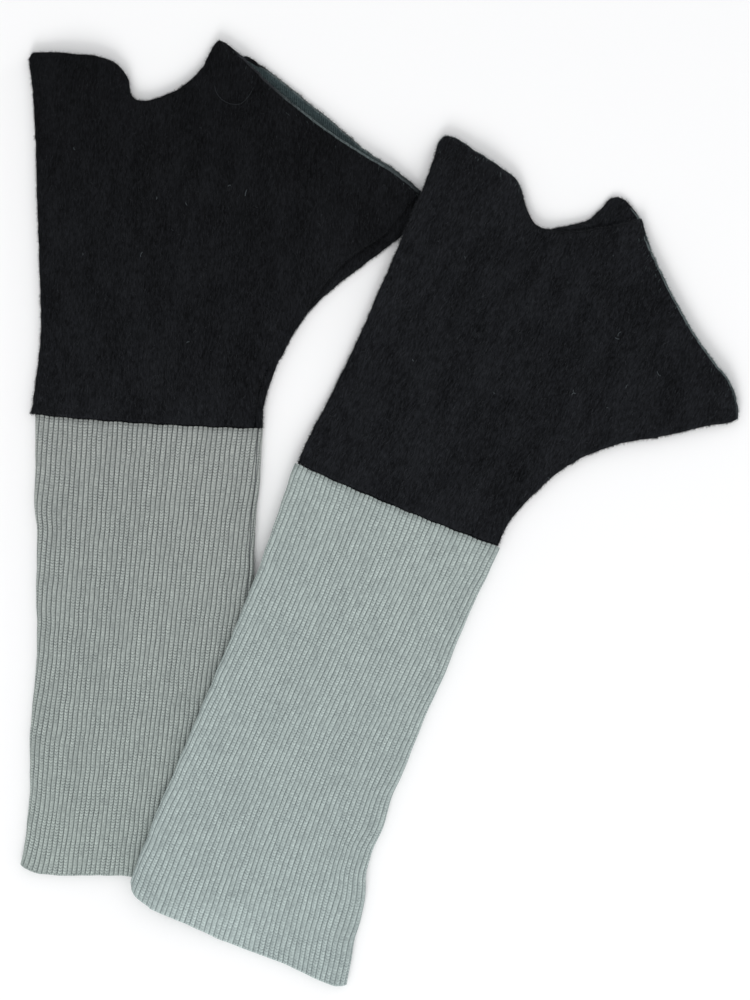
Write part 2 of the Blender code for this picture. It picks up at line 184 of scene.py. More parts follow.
UPPER = Mitten(
    name="upper", place=(9.0, 3.93), turn=-22.49,
    cuff=UPPER_CUFF, hem=UPPER_HEM, front=UPPER_FRONT, back=UPPER_BACK,
    hem_corners=(2.8, 1.0), twist=3.4, seam_depth=0.0,
    turned_in={"thumb_side": 6.0, "crotch": 17.0, "outer_seam": 10.0},
    folds=[
        Fold(line=[(-31, 150), (-31, 104)], width=5, height=0.9),
        Fold(line=[(-9, 146), (-6, 106)], width=5, height=1.0),
        Fold(line=[(-20, 150), (-19, 110)], width=6, height=-0.6),
        Fold(line=[(-5, 135), (30, 117), (60, 105), (100, 100)], width=8, height=-0.9),
        Fold(line=[(24, 130), (62, 124)], width=8, height=0.6),
        Fold(line=[(78, 76), (114, 94)], width=8, height=0.5),
        Fold(line=[(44, 52), (70, 82)], width=7, height=-0.6),
        Fold(line=[(10, 60), (30, 12)], width=12, height=0.5),
    ],
    grooves=[],
    cuff_folds=[
        Fold(line=[(-36, -16), (-31, -54)], width=5, height=0.6),
        Fold(line=[(28, -138), (48, -152)], width=5, height=-0.5),
    ],
    rib_depth=(0.92, 0.84),
    fleece_light=(0.98, 0.90), knit_light=((0.875, 0.89, 0.895), (0.87, 0.905, 0.925)),
    stitch_light=0.95, lit_leg=1,
    front_glow=(46, 52, 112, 124), back_glow=(40, 46, 112, 124),
    fuzzy_edges=["thumb_opening", "finger_opening"],
)
print("upper mitten: turned", UPPER.turn, "degrees, its cuff twisted by", UPPER.twist, "ribs")

# %% [markdown]
# ## From the pattern to the floor
# The pattern's points are joined by a smooth curve. A spline object could do this, but the
# panels need points at chosen shares of each edge, so the curve is worked out here with
# Blender's own Bezier function and then measured. Each mitten has a matrix that turns it and
# sets it down. The upper mitten climbs the lower one on a soft ramp.

# %% Smooth curves and points along them
CURVE_STEPS = 12
HANDLE_PART = 6                      # a handle is a sixth of the line between its neighbours


def smooth_line(points):
    """Close-set points on a smooth curve through the given ones."""
    knots = [Vector(point) for point in points]
    knots = [2 * knots[0] - knots[1], *knots, 2 * knots[-1] - knots[-2]]
    line = []
    for before, start, end, after in zip(knots, knots[1:], knots[2:], knots[3:]):
        leave = start + (end - before) / HANDLE_PART
        arrive = end - (after - start) / HANDLE_PART
        line += interpolate_bezier(start, leave, arrive, end, CURVE_STEPS)[:-1]
    return np.array(line + [knots[-2]])


def points_at(points, shares):
    """Points of the smooth curve at these shares of its length."""
    line = smooth_line(points)
    steps = np.hypot(*np.diff(line, axis=0).T)
    reach = np.concatenate([[0], np.cumsum(steps)])
    at = np.asarray(shares) * reach[-1]
    return np.stack([np.interp(at, reach, line[:, 0]), np.interp(at, reach, line[:, 1])], axis=-1)


def ease(share):
    """A smooth step from 0 to 1."""
    share = min(max(share, 0.0), 1.0)
    return share * share * (3 - 2 * share)


# %% Each mitten's place, and the height of what it lies on
CLIMB = 4.8                          # how high the upper mitten lies on the lower one
CLIMB_MARGIN = 3.0                   # it keeps that height past the lower one's edge
CLIMB_RUN = 26.0                     # and then comes down to the floor over this length


def frame_of(mitten):
    """The matrix from a mitten's pattern to the world, in millimetres."""
    return Matrix.Translation((*mitten.place, 0)) @ Matrix.Rotation(radians(mitten.turn), 4, "Z")


UPPER_TO_LOWER = frame_of(LOWER).inverted() @ frame_of(UPPER)
LOWER_CUFF_EDGE = max(section.right for section in LOWER_CUFF)
LOWER_CUFF_END = min(point.along for point in LOWER_HEM)


def past_line(point, start, end):
    """How far a point lies to the left of the line from start to end."""
    run = (Vector(end) - Vector(start)).normalized()
    return run.cross(point - Vector(start))


def floor_height(mitten, across, along):
    """The height of what a mitten lies on: the floor, or the lower mitten under the upper."""
    if mitten is LOWER:
        return 0.0
    spot = (UPPER_TO_LOWER @ Vector((across, along, 0))).to_2d()
    past_cuff = hypot(max(spot.x - LOWER_CUFF_EDGE, 0), max(LOWER_CUFF_END - spot.y, 0))
    past_hand = max(past_line(spot, LOWER_OPENING_NEAR_TIP, LOWER_TIP),
                    past_line(spot, LOWER_TIP, LOWER_SEAM_NEAR_TIP), 0)
    past = min(past_cuff, past_hand)
    return CLIMB * (1 - ease((past - CLIMB_MARGIN) / CLIMB_RUN))


# %% The line of the wrist seam
WRIST_BOW = 1.2                      # how far it sags towards the cuff at its middle
WRIST_WANDER = 0.3                   # how far it strays from that even line
WRIST_WAVES = (9 * pi, 23.0)         # two waves that never fall in step
WRIST_SCALLOP = 0.20                 # and how far it steps back at each rib


def wrist_sag(share):
    """How far the wrist seam sags at a share of its width."""
    one, other = WRIST_WAVES
    wander = WRIST_WANDER * np.sin(one * share) * np.sin(other * share)
    scallop = WRIST_SCALLOP * np.sin(pi * RIBS_ACROSS * share) ** 2
    return WRIST_BOW * 4 * share * (1 - share) + wander - scallop


# %% Folds, and how far a point lies from a line
FOLD_POINTS = 200
FOLD_FADE = 5                        # a fold has its full height after a fifth of its line
WAVE = (24.0, 34.0)                  # width and length of the cloth's small waves
WAVE_HEIGHT = 0.35
WAVE_LAYERS = {"lower": 5.0, "upper": 9.0}  # each mitten takes its own layer of the noise


def tree_of(points):
    """A search tree that finds the nearest of these pattern points."""
    tree = KDTree(len(points))
    for index, point in enumerate(points):
        tree.insert((*point, 0), index)
    tree.balance()
    return tree


def distance(tree, x, y):
    """How far a point lies from the nearest one in the tree."""
    return tree.find((x, y, 0))[2]


def trace(folds):
    """The folds, each with a search tree of close-set points along its line."""
    shares = np.linspace(0, 1, FOLD_POINTS)
    return [(fold, tree_of(points_at(fold.line, shares))) for fold in folds]


def fold_height(traced, x, y):
    """The height of the listed troughs and ridges at a point."""
    height = 0.0
    for fold, tree in traced:
        _, index, away = tree.find((x, y, 0))
        share = index / (FOLD_POINTS - 1)
        fade = ease(FOLD_FADE * share) * ease(FOLD_FADE * (1 - share))
        height += fold.height * fade * exp(-(away / fold.width) ** 2)
    return height


def wave_height(mitten, x, y):
    """The small uneven waves that no cloth is without."""
    return WAVE_HEIGHT * noise.noise((x / WAVE[0], y / WAVE[1], WAVE_LAYERS[mitten.name]))


# %% Placing a finished piece
def fix_order(bm):
    """Number points and faces by their places: an operator's order can change between runs."""
    for index, vert in enumerate(sorted(bm.verts, key=lambda vert: vert.co[:])):
        vert.index = index
    bm.verts.sort()
    ordered = sorted(bm.faces, key=lambda face: sorted(vert.index for vert in face.verts))
    for index, face in enumerate(ordered):
        face.index = index
    bm.faces.sort()


def mesh_of(name, bm):
    """The mesh of a finished bmesh."""
    mesh = bpy.data.meshes.new(name)
    bm.to_mesh(mesh)
    bm.free()
    return mesh


def add_object(name, data):
    """A new object in the scene: a mesh, a light or a camera."""
    made = bpy.data.objects.new(name, data)
    bpy.context.scene.collection.objects.link(made)
    return made


def add_piece(name, mesh, materials):
    """A piece of the pair, from a mesh that lies in its place."""
    for material in materials:
        mesh.materials.append(material)
    piece = add_object(name, mesh)
    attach(piece, "root")
    triangles = sum(len(face.vertices) - 2 for face in mesh.polygons)
    print(f"{name}: {triangles} triangles")
    return piece


def lay_down(name, bm, mitten, materials):
    """A piece from a bmesh in pattern millimetres, laid in its mitten's place."""
    fix_order(bm)
    bm.transform(Matrix.Scale(MM, 4) @ frame_of(mitten))
    mesh = mesh_of(name, bm)
    mesh.shade_smooth()
    return add_piece(name, mesh, materials)


# %% [markdown]
# ## A pencil for materials
# A material is a net of nodes. Wiring each sum by hand hides the idea behind the wiring, so one
# small class holds a socket and lets Python's own operators add the Math nodes. Every other
# kind of node comes from its one method, which sets the node up and joins its inputs.

# %% The class that writes shader maths
MIX_COLOURS = (6, 7)                 # the Mix node's sockets for its two colours
MIX_RESULT = 2                       # and for the colour that comes out


class Wire:
    """A socket of a node tree; operators on it add Math nodes and give the next socket."""

    def __init__(self, tree, socket=None):
        self.tree = tree
        self.socket = socket

    def node(self, kind, settings=None, inputs=None, output=0):
        """Any node: its settings are made first, then the values or links of its inputs."""
        made = self.tree.nodes.new(kind)
        for name, value in (settings or {}).items():
            setattr(made, name, value)
        for name, value in (inputs or {}).items():
            if isinstance(value, Wire):
                self.tree.links.new(value.socket, made.inputs[name])
            else:
                made.inputs[name].default_value = value
        return Wire(self.tree, made.outputs[output])

    def maths(self, operation, *values):
        """One Math node on these values."""
        inputs = dict(enumerate(values))
        return self.node("ShaderNodeMath", {"operation": operation}, inputs)

    def __add__(self, other):
        return self.maths("ADD", self, other)

    def __sub__(self, other):
        return self.maths("SUBTRACT", self, other)

    def __rsub__(self, other):
        return self.maths("SUBTRACT", other, self)

    def __mul__(self, other):
        return self.maths("MULTIPLY", self, other)

    def __pow__(self, other):
        return self.maths("POWER", self, other)

    def __abs__(self):
        return self.maths("ABSOLUTE", self)

    __radd__ = __add__
    __rmul__ = __mul__

    def whole(self):
        """The part before the decimal point."""
        return self.maths("FLOOR", self)

    def fraction(self):
        """The part after the decimal point."""
        return self.maths("FRACT", self)

    def mix(self, first, second):
        """The first colour where this wire is 0 and the second where it is 1."""
        inputs = {0: self, MIX_COLOURS[0]: first, MIX_COLOURS[1]: second}
        return self.node("ShaderNodeMix", {"data_type": "RGBA"}, inputs, MIX_RESULT)

    def times(self, shade):
        """This colour times a shade."""
        return self.node("ShaderNodeVectorMath", {"operation": "MULTIPLY"}, {0: self, 1: shade})

    def into(self, shader, name):
        """Join this wire to an input of the shader."""
        self.tree.links.new(self.socket, shader.inputs[name])


# %% The start of every cloth material
SHEEN_SPREAD = 0.6


def cloth_material(name, roughness, sheen=0.0, shine=0.1, colour=None):
    """A new cloth material, its shader, and a wire to draw the rest with."""
    print("material:", name)
    material = bpy.data.materials.new(name)
    material.use_nodes = True
    shader = material.node_tree.nodes["Principled BSDF"]
    if colour:
        shader.inputs["Base Color"].default_value = colour
    shader.inputs["Roughness"].default_value = roughness
    shader.inputs["Specular IOR Level"].default_value = shine
    shader.inputs["Sheen Weight"].default_value = sheen
    shader.inputs["Sheen Roughness"].default_value = SHEEN_SPREAD
    return material, shader, Wire(material.node_tree)


def shade(share, start, end):
    """A shade that goes from one amount of red, green and blue to another with the share."""
    return share.mix((*np.broadcast_to(start, 3), 1), (*np.broadcast_to(end, 3), 1))


def spread_out(wire, low, high):
    """Stretch a wire so that low becomes 0 and high becomes 1, and clip the rest."""
    inputs = {"Value": wire, "From Min": low, "From Max": high}
    return wire.node("ShaderNodeMapRange", {"clamp": True}, inputs)


def blend(shares, *wires):
    """These wires added up, each by its share."""
    parts = [share * wire for share, wire in zip(shares, wires)]
    return sum(parts[1:], parts[0])


def add_bump(shader, height, depth, strength):
    """A bump of this depth in millimetres, from a height between 0 and 1."""
    inputs = {"Height": height, "Distance": depth * MM, "Strength": strength}
    height.node("ShaderNodeBump", inputs=inputs).into(shader, "Normal")


# %% Places on a mitten, and the lumps of its cloth
HAND_LENGTH = 160.0                  # from the wrist to the openings, in millimetres
NOISE_DETAIL = 2.0
NOISE_ROUGHNESS = 0.6
Lumps = namedtuple("Lumps", "size low high", defaults=[0.3, 0.7])   # noise between two levels


def pattern_place(wire, mitten):
    """Object coordinates in millimetres, turned so that Y runs along the mitten."""
    place = wire.node("ShaderNodeTexCoord", output="Object")
    settings = {"vector_type": "TEXTURE"}
    inputs = {"Vector": place, "Location": (*(MM * x for x in mitten.place), 0),
              "Rotation": (0, 0, radians(mitten.turn)), "Scale": (MM, MM, MM)}
    return wire.node("ShaderNodeMapping", settings, inputs)


def part_of(vector, axis):
    """One of a vector's three numbers."""
    return vector.node("ShaderNodeSeparateXYZ", inputs={0: vector}, output=axis)


def up_the_hand(place):
    """The share of a hand's length at a place, from the wrist up."""
    return spread_out(part_of(place, "Y"), 0.0, HAND_LENGTH)


def noise_at(place, size):
    """Noise whose lumps have this size, in millimetres: a number, or one for each axis."""
    sizes = size if isinstance(size, tuple) else (size, size, size)
    scaled = place.node("ShaderNodeVectorMath", {"operation": "DIVIDE"}, {0: place, 1: sizes})
    inputs = {"Vector": scaled, "Scale": 1.0, "Detail": NOISE_DETAIL,
              "Roughness": NOISE_ROUGHNESS}
    return place.node("ShaderNodeTexNoise", inputs=inputs, output="Fac")


def lumps_at(place, lumps):
    """Noise with these lumps, 0 below their low level and 1 above their high one."""
    return spread_out(noise_at(place, lumps.size), lumps.low, lumps.high)


# %% [markdown]
# ## Brushed fleece
# The outside of the hands is a black fleece whose brushed face is a short nap, all lying one
# way. Its colour is never one flat black: the nap is streaked along the mitten, and some spots
# are pressed and others raised. Image textures could show that, but noise stretched along the
# mitten does the same at any size. The nap's own fibres are added later.

# %% The fleece's outside
BLACK_DEEP = (0.0004, 0.0006, 0.0009, 1)
BLACK_LIGHT = (0.0180, 0.0194, 0.0228, 1)
NAP_STREAKS = Lumps((0.7, 2.8, 1.0), 0.36, 0.68)   # narrow, and long the way the nap lies
NAP_GRAIN = Lumps(0.55)
NAP_PATCHES = Lumps((9.0, 22.0, 9.0), 0.35, 0.65)
NAP_TONE = (0.50, 0.25, 0.25)        # the shares of streaks, grain and patches in its tone
NAP_HEIGHT = (0.6, 0.4)              # and of streaks and grain in its height


def make_fleece(mitten):
    """The brushed outside of a mitten's hand."""
    material, shader, wire = cloth_material(f"{mitten.name} black fleece", roughness=0.95,
                                            sheen=0.02, shine=0.05)
    place = pattern_place(wire, mitten)
    streaks, grain, patches = (lumps_at(place, lumps)
                               for lumps in (NAP_STREAKS, NAP_GRAIN, NAP_PATCHES))
    # Painted shade: the colour is darkened from the wrist towards the openings, away from the
    # soft window.
    light = shade(up_the_hand(place), *mitten.fleece_light)
    nap = blend(NAP_TONE, streaks, grain, patches)
    nap.mix(BLACK_DEEP, BLACK_LIGHT).times(light).into(shader, "Base Color")
    add_bump(shader, blend(NAP_HEIGHT, streaks, grain), depth=0.25, strength=0.6)
    return material


# %% [markdown]
# ## The inside of the fleece
# The fleece isn't brushed on its inside: it is a smooth teal-grey jersey with fine wales, and
# it shows only where the back panel reaches past the front one at the finger opening. A plain
# colour would do from afar; a wave pattern gives the wales of its knit. Along the middle of the
# opening's cut edge, where it rolls towards the eye and catches the light, the yarn is painted
# pale as a sheen that fades into the black at both ends. The lower mitten also has a short sewn
# groove at its wrist; light hardly reaches the bottom of that, so it is painted near black as
# shadow.

# %% The fleece's inside
INSIDE_DEEP = (0.012, 0.020, 0.022, 1)
INSIDE_LIGHT = (0.068, 0.098, 0.102, 1)
WALE = 0.95                          # from one wale to the next, in millimetres
WAVE_PERIOD = 2 * pi / 20            # of the wave pattern when its scale is 1
WALE_WANDER = {"Distortion": 1.2, "Detail": 2.0, "Detail Scale": 1.5}
INSIDE_GRAIN = Lumps(0.7)
INSIDE_TONE = (0.42, 0.58)           # the shares of wales and grain


def make_inside(mitten):
    """The smooth teal-grey side of a mitten's hand."""
    material, shader, wire = cloth_material(f"{mitten.name} fleece inside", roughness=0.9,
                                            sheen=0.05)
    place = pattern_place(wire, mitten)
    inputs = {"Vector": place, "Scale": WAVE_PERIOD / WALE, **WALE_WANDER}
    wales = wire.node("ShaderNodeTexWave", {"bands_direction": "X"}, inputs, "Fac")
    knit = blend(INSIDE_TONE, wales, lumps_at(place, INSIDE_GRAIN))
    knit.mix(INSIDE_DEEP, INSIDE_LIGHT).into(shader, "Base Color")
    add_bump(shader, knit, depth=0.2, strength=0.7)
    return material


# %% The cut edge's painted sheen, and the painted shadow at the bottom of a sewn groove
# The pale colour of the painted sheen on the cut edge
EDGE_PAINTED_SHEEN = (0.115, 0.145, 0.145, 1)
EDGE_GRAIN = Lumps(0.8)
EDGE_EVEN = 0.30                     # how much of the edge's tone its grain leaves alone
# Painted shadow for the bottom of a sewn groove
SEAM_PAINTED_SHADOW = (0.0030, 0.0033, 0.0038, 1)


def make_cut_edge(mitten, side):
    """The yarn at the finger opening's cut edge: a painted sheen in its middle, black at its
    ends.
    """
    material, shader, wire = cloth_material(f"{mitten.name} {side} edge", roughness=0.9,
                                            sheen=0.05)
    place = pattern_place(wire, mitten)
    across = part_of(place, "X")
    start, full_from, full_to, end = getattr(mitten, f"{side}_glow")
    # Painted sheen: the rolled cut edge is made pale where it catches the light, and fades at
    # both ends.
    painted_sheen = spread_out(across, start, full_from) * spread_out(across, end, full_to)
    grain = lumps_at(place, EDGE_GRAIN)
    tone = painted_sheen * (EDGE_EVEN + (1 - EDGE_EVEN) * grain)
    tone.mix(BLACK_LIGHT, EDGE_PAINTED_SHEEN).into(shader, "Base Color")
    add_bump(shader, grain, depth=0.2, strength=0.5)
    return material


def make_seam_shadow(mitten):
    """The bottom of a sewn groove, painted near black as the shadow where no light comes."""
    return cloth_material(f"{mitten.name} seam line", roughness=0.95, shine=0.0,
                          colour=SEAM_PAINTED_SHADOW)[0]


# %% [markdown]
# ## Rib knit
# A rib knit has columns of stitches that stand up as ridges, with narrow valleys between them.
# The ridges themselves are modelled in the mesh. The stitches are far too many to model, so
# they are drawn from the UV map, which follows the cloth: U counts the ribs round the cuff and
# V runs down its length. A column of knit stitches reads as small nested V shapes, and the
# valleys as rows of dark dashes, one for each stitch. No two stitches are equally light. The
# colour also carries painted shade: in the valleys and the side seam, where one stitch meets the
# next, in the line between its two legs, and on the leg that turns from the light, while the leg
# that leans towards the light is painted paler. In some places the stitches show clearly and in
# others the ridges look smooth.

# %% Finding a stitch from the UV map
RIBS_ROUND = 2 * (RIBS_ACROSS + RIBS_IN_FOLD)
SHEET_LENGTH = 404.0                 # the knit before it is folded double, in millimetres
FIRST_HALF = (0.0, 0.5)              # the share of the sheet that is a cuff's outside
STITCH = 1.26                        # height of one stitch
JITTER_SIZE = (1.6, 1.3, 1.6)
RIB_JITTER = 0.16                    # how unevenly the stitches sit, as a share of a rib
STITCH_JITTER = 0.5                  # and as a share of a stitch's height
LEG_RISE = 0.5                       # how far a stitch's legs rise, as a share of its height
Stitch = namedtuple("Stitch", [
    "rib",                           # how many ribs round the tube it lies
    "leg", "off_middle",             # the place over its rib, and how far from the ridge that is
    "between",                       # 0 in its middle, and 1 where the next stitch begins
    "uneven",                        # a random number of its own
])


def find_stitch(place, round_tube, down_tube):
    """Which rib and stitch a spot of the knit lies in, and where in it."""
    jitter = noise_at(place, JITTER_SIZE) - 0.5
    ribs = round_tube * RIBS_ROUND + RIB_JITTER * jitter
    off_middle = abs(2 * ribs.fraction() - 1)
    stitches = down_tube * (SHEET_LENGTH / STITCH)
    stitches = stitches + LEG_RISE * off_middle + STITCH_JITTER * jitter
    between = abs(2 * stitches.fraction() - 1)
    number = place.node("ShaderNodeCombineXYZ", inputs={0: ribs.whole(), 1: stitches.whole()})
    uneven = place.node("ShaderNodeTexWhiteNoise", {"noise_dimensions": "2D"},
                        {"Vector": number}, "Value")
    return Stitch(round_tube * RIBS_ROUND, ribs.fraction(), off_middle, between, uneven)


# %% The ridges, the valleys and the side seam
VALLEY_EVEN = 0.40                   # how deep a valley's painted shade is at its shallowest dash
VALLEY_EDGE = (3.2, 5.0)             # how steep its sides are, and how much more at a dash
LEG_SHADE = 0.16                     # how much darker a stitch's shaded leg is
LEG_TURN = (0.30, 0.62)              # where over a rib the shade comes on
LEG_GAP = 0.12                       # the painted shade of the thin line between a stitch's two legs
LEG_GAP_EDGE = 6.0
SEAM_LINE = 0.20                     # half the width of a cuff's side seam, as a share of a rib


def make_ridge(mitten, stitch, down_tube):
    """Painted shade by a spot's place on its rib, also its bump: 1 on the ridge, less in a valley
    or seam.
    """
    # Painted shade: the valleys, the seam, the leg turned from the light and the line between the
    # legs are darkened in the colour, besides the mesh's own ridges.
    at_wrist, at_hem = mitten.rib_depth
    depth = at_wrist + (at_hem - at_wrist) * spread_out(down_tube, *FIRST_HALF)
    depth = depth * (VALLEY_EVEN + (1 - VALLEY_EVEN) * stitch.uneven)
    ridge = 1 - depth * stitch.off_middle ** (VALLEY_EDGE[0] + VALLEY_EDGE[1] * stitch.between)
    leg = 0.5 - mitten.lit_leg * (stitch.leg - 0.5)
    ridge = ridge * (1 - LEG_SHADE * spread_out(leg, *LEG_TURN))
    ridge = ridge * (1 - LEG_GAP * (1 - stitch.off_middle) ** LEG_GAP_EDGE)
    passed = down_tube * (mitten.twist * SHEET_LENGTH / -mitten.cuff[-1].along)
    seam = spread_out(abs(stitch.rib - passed - RIBS_ACROSS), SEAM_LINE, 0.0)
    return ridge * (1 - mitten.seam_depth * seam)


# %% The cuff's knit
KNIT_DEEP = (0.066, 0.078, 0.088, 1)
KNIT_LIGHT = (0.620, 0.700, 0.660, 1)
YARN = Lumps((0.8, 0.7, 0.8))
STRAIN = Lumps((2.4, 5.5, 2.4))
KNIT_PATCHES = Lumps((12.0, 30.0, 12.0))
CLEARNESS = Lumps((5.0, 8.0, 5.0), 0.40, 0.60)
STITCH_DRAWN = (0.12, 0.36)          # how strong the stitches are drawn, and how much more
LOOP_MEAN = 0.67                     # the mean of the loops, which keeps the tone the same
KNIT_TONE = 0.39                     # the tone of plain knit
TONE_SHARES = (0.26, 0.16, 0.12, 0.06)  # what yarn, uneven stitches, strain and patches add
YARN_HEIGHT = 0.15


def make_knit(mitten):
    """The sage-grey rib knit of a cuff."""
    material, shader, wire = cloth_material(f"{mitten.name} rib knit", roughness=0.9, sheen=0.1)
    place = pattern_place(wire, mitten)
    unrolled = wire.node("ShaderNodeUVMap")
    round_tube, down_tube = part_of(unrolled, "X"), part_of(unrolled, "Y")
    stitch = find_stitch(place, round_tube, down_tube)
    ridge = make_ridge(mitten, stitch, down_tube)
    # Painted shade: each stitch is lighter in its middle and darker where it meets the next.
    loops = 1 - stitch.between ** 2.0
    yarn, strain, patches, clear = (lumps_at(place, lumps)
                                    for lumps in (YARN, STRAIN, KNIT_PATCHES, CLEARNESS))
    drawn = mitten.stitch_light * (STITCH_DRAWN[0] + STITCH_DRAWN[1] * clear)
    tone = KNIT_TONE + drawn * (loops - LOOP_MEAN)
    tone = ridge * (tone + blend(TONE_SHARES, yarn, stitch.uneven, strain, patches))
    # The cloth's tint and painted shade: the colour is scaled from the wrist to the hem, darkest
    # at the lower cuff's wrist, away from the soft window.
    light = shade(spread_out(down_tube, *FIRST_HALF), *mitten.knit_light)
    tone.mix(KNIT_DEEP, KNIT_LIGHT).times(light).into(shader, "Base Color")
    height = ridge * (0.5 + 0.5 * loops) + YARN_HEIGHT * yarn
    add_bump(shader, height, depth=0.25, strength=0.6)
    return material


# %% [markdown]
# ## The hand panels
# A hand is two panels cut alike, sewn together at the thumb side, the crotch between thumb and
# fingers, and the outer seam; the thumb and finger openings stay open. A panel could be drawn
# as one many-sided face, but it has to carry soft folds, so it starts as a grid and each of
# its points is moved to its place on the pattern: the grid's four sides become the pattern's
# edges, and the inner points are blended from them. Solidify makes it a closed slab first, so
# the top and the underside can be given heights of their own, rounded where they meet.

# %% Where the grid's lines lie
THUMB_SHARE = 6 / 26                 # of the panel's upper edge, up to the crotch
CROTCH_SHARE = 15 / 26               # and up to the finger opening
COLUMNS = (44, 54, 66)               # in the thumb opening, the crotch and the finger opening
ROWS = 110
SIDE_CROWDING = 1.6                  # columns stand closer at the sides
END_CROWDING = 0.75                  # and rows at the wrist and the openings


def crowded(count, power):
    """Shares from 0 to 1 that start close together."""
    return (np.arange(count + 1) / count) ** power


def panel_lines(fineness):
    """The shares of a panel's width and length where the grid has its lines."""
    thumb, crotch, finger = (round(count * fineness) for count in COLUMNS)
    across = np.concatenate([
        THUMB_SHARE * crowded(thumb, SIDE_CROWDING),
        THUMB_SHARE + (CROTCH_SHARE - THUMB_SHARE) * np.linspace(0, 1, crotch + 1)[1:],
        1 - (1 - CROTCH_SHARE) * crowded(finger, SIDE_CROWDING)[::-1][1:],
    ])
    rows = round(ROWS * fineness)
    up = np.arange(rows + 1) / rows
    return across, up - END_CROWDING * np.sin(2 * pi * up) / (2 * pi)


def grid_spot(vert, rows, columns):
    """The row and the column of a point in a grid that runs from -0.5 to 0.5."""
    return round((vert.co.y + 0.5) * rows), round((vert.co.x + 0.5) * columns)


def panel_places(outline, across, up):
    """The pattern place of every crossing of the grid, row by row from the wrist."""
    left = points_at(outline.thumb_side, up)[:, None]
    right = points_at(outline.outer_seam, up)[:, None]
    thumb = across[across <= THUMB_SHARE] / THUMB_SHARE
    crotch = across[(across > THUMB_SHARE) & (across <= CROTCH_SHARE)]
    finger = across[across > CROTCH_SHARE]
    top = np.concatenate([
        points_at(outline.thumb_opening, thumb),
        points_at(outline.crotch, (crotch - THUMB_SHARE) / (CROTCH_SHARE - THUMB_SHARE)),
        points_at(outline.finger_opening, (finger - CROTCH_SHARE) / (1 - CROTCH_SHARE)),
    ])[None]
    over, high = across[None, :, None], up[:, None, None]
    sag = np.stack([np.zeros_like(across), wrist_sag(across)], axis=-1)[None]
    bottom = left[:1] + (right[:1] - left[:1]) * over - sag
    corners = (left[:1] * (1 - over) + right[:1] * over) * (1 - high)
    corners = corners + (left[-1:] * (1 - over) + right[-1:] * over) * high
    return (bottom * (1 - high) + top * high) + (left * (1 - over) + right * over) - corners


# %% A panel's edges
EDGE_POINTS = 200
SEWN = ("thumb_side", "crotch", "outer_seam")
OPEN = ("thumb_opening", "finger_opening")


def edge_tree(outline, names, with_wrist=False):
    """A search tree of close-set points along these stretches of a panel's edge."""
    shares = np.linspace(0, 1, EDGE_POINTS)
    stretches = [points_at(getattr(outline, name), shares) for name in names]
    if with_wrist:
        wrist = points_at([outline.thumb_side[0], outline.outer_seam[0]], shares)
        wrist[:, 1] -= wrist_sag(shares)
        stretches.append(wrist)
    return tree_of(np.concatenate(stretches))


def outline_loop(outline):
    """The whole edge of a panel, in order round it."""
    shares = np.linspace(0, 1, EDGE_POINTS)
    *first, outer_seam = (points_at(stretch, shares) for stretch in outline)
    return np.concatenate([*first, outer_seam[::-1]])


def is_inside(loop, places):
    """Whether each place lies inside the loop: its line to the right crosses it an odd way."""
    x, y = places[..., 0], places[..., 1]
    inside = np.zeros(x.shape, bool)
    for (x1, y1), (x2, y2) in zip(loop, np.roll(loop, -1, axis=0)):
        if y1 != y2:
            crossing = x1 + (y - y1) * (x2 - x1) / (y2 - y1)
            inside ^= ((y1 > y) != (y2 > y)) & (x < crossing)
    return inside


# %% The shape of a panel's top and underside
PUFF = 1.3                           # air between the hand panels, away from their seams
PUFF_REACH = 22.0                    # how far from a seam the air reaches its full height
OUTER_DROP = 1.3                     # how far the side that shows falls at a panel's rim
INNER_DROP = 0.4                     # and the side that faces the other panel
EVEN_DROP = 0.85                     # both sides, where the back reaches past the front
RIM_REACH = 1.6                      # how far from the edge a rim starts to fall
OPENING_REACH = 3.6                  # the same along the finger opening, which rolls softly
SEAM_ROLL = 1.3                      # the back rolls up round its seam where it shows
ROLL_RUN = 6                         # the roll grows to its full height over this length
ROLL_START = 0.5                     # and begins half that length from the finger opening
ON_EDGE = 0.4                        # a place this near the front's edge counts as covered
NO_WIDTH = 1e-6                      # keeps a division from dividing by nothing


def rim_drop(away, reach, drop):
    """How far a rounded rim falls below the flat, this far from its edge."""
    if away >= reach:
        return 0.0
    return drop * (1 - sqrt(1 - (1 - away / reach) ** 2))


def front_heights(mitten, places):
    """The underside and the top of a front panel at each place."""
    seams = edge_tree(mitten.front, SEWN, with_wrist=True)
    edges = edge_tree(mitten.front, SEWN + OPEN, with_wrist=True)
    opening = edge_tree(mitten.front, ["finger_opening"])
    folds, grooves = trace(mitten.folds), trace(mitten.grooves)
    under, top = [], []
    for x, y in places:
        loose = ease(distance(seams, x, y) / PUFF_REACH)
        air = max(PUFF + fold_height(folds, x, y) + wave_height(mitten, x, y), 0.0)
        floor = floor_height(mitten, x, y) + FLEECE + SEAM_GAP + loose * air
        away = distance(edges, x, y)
        fall = max(rim_drop(away, RIM_REACH, OUTER_DROP),
                   rim_drop(distance(opening, x, y), OPENING_REACH, OUTER_DROP))
        under.append(floor + rim_drop(away, RIM_REACH, INNER_DROP))
        top.append(floor + FLEECE - fall + fold_height(grooves, x, y))
    return under, top


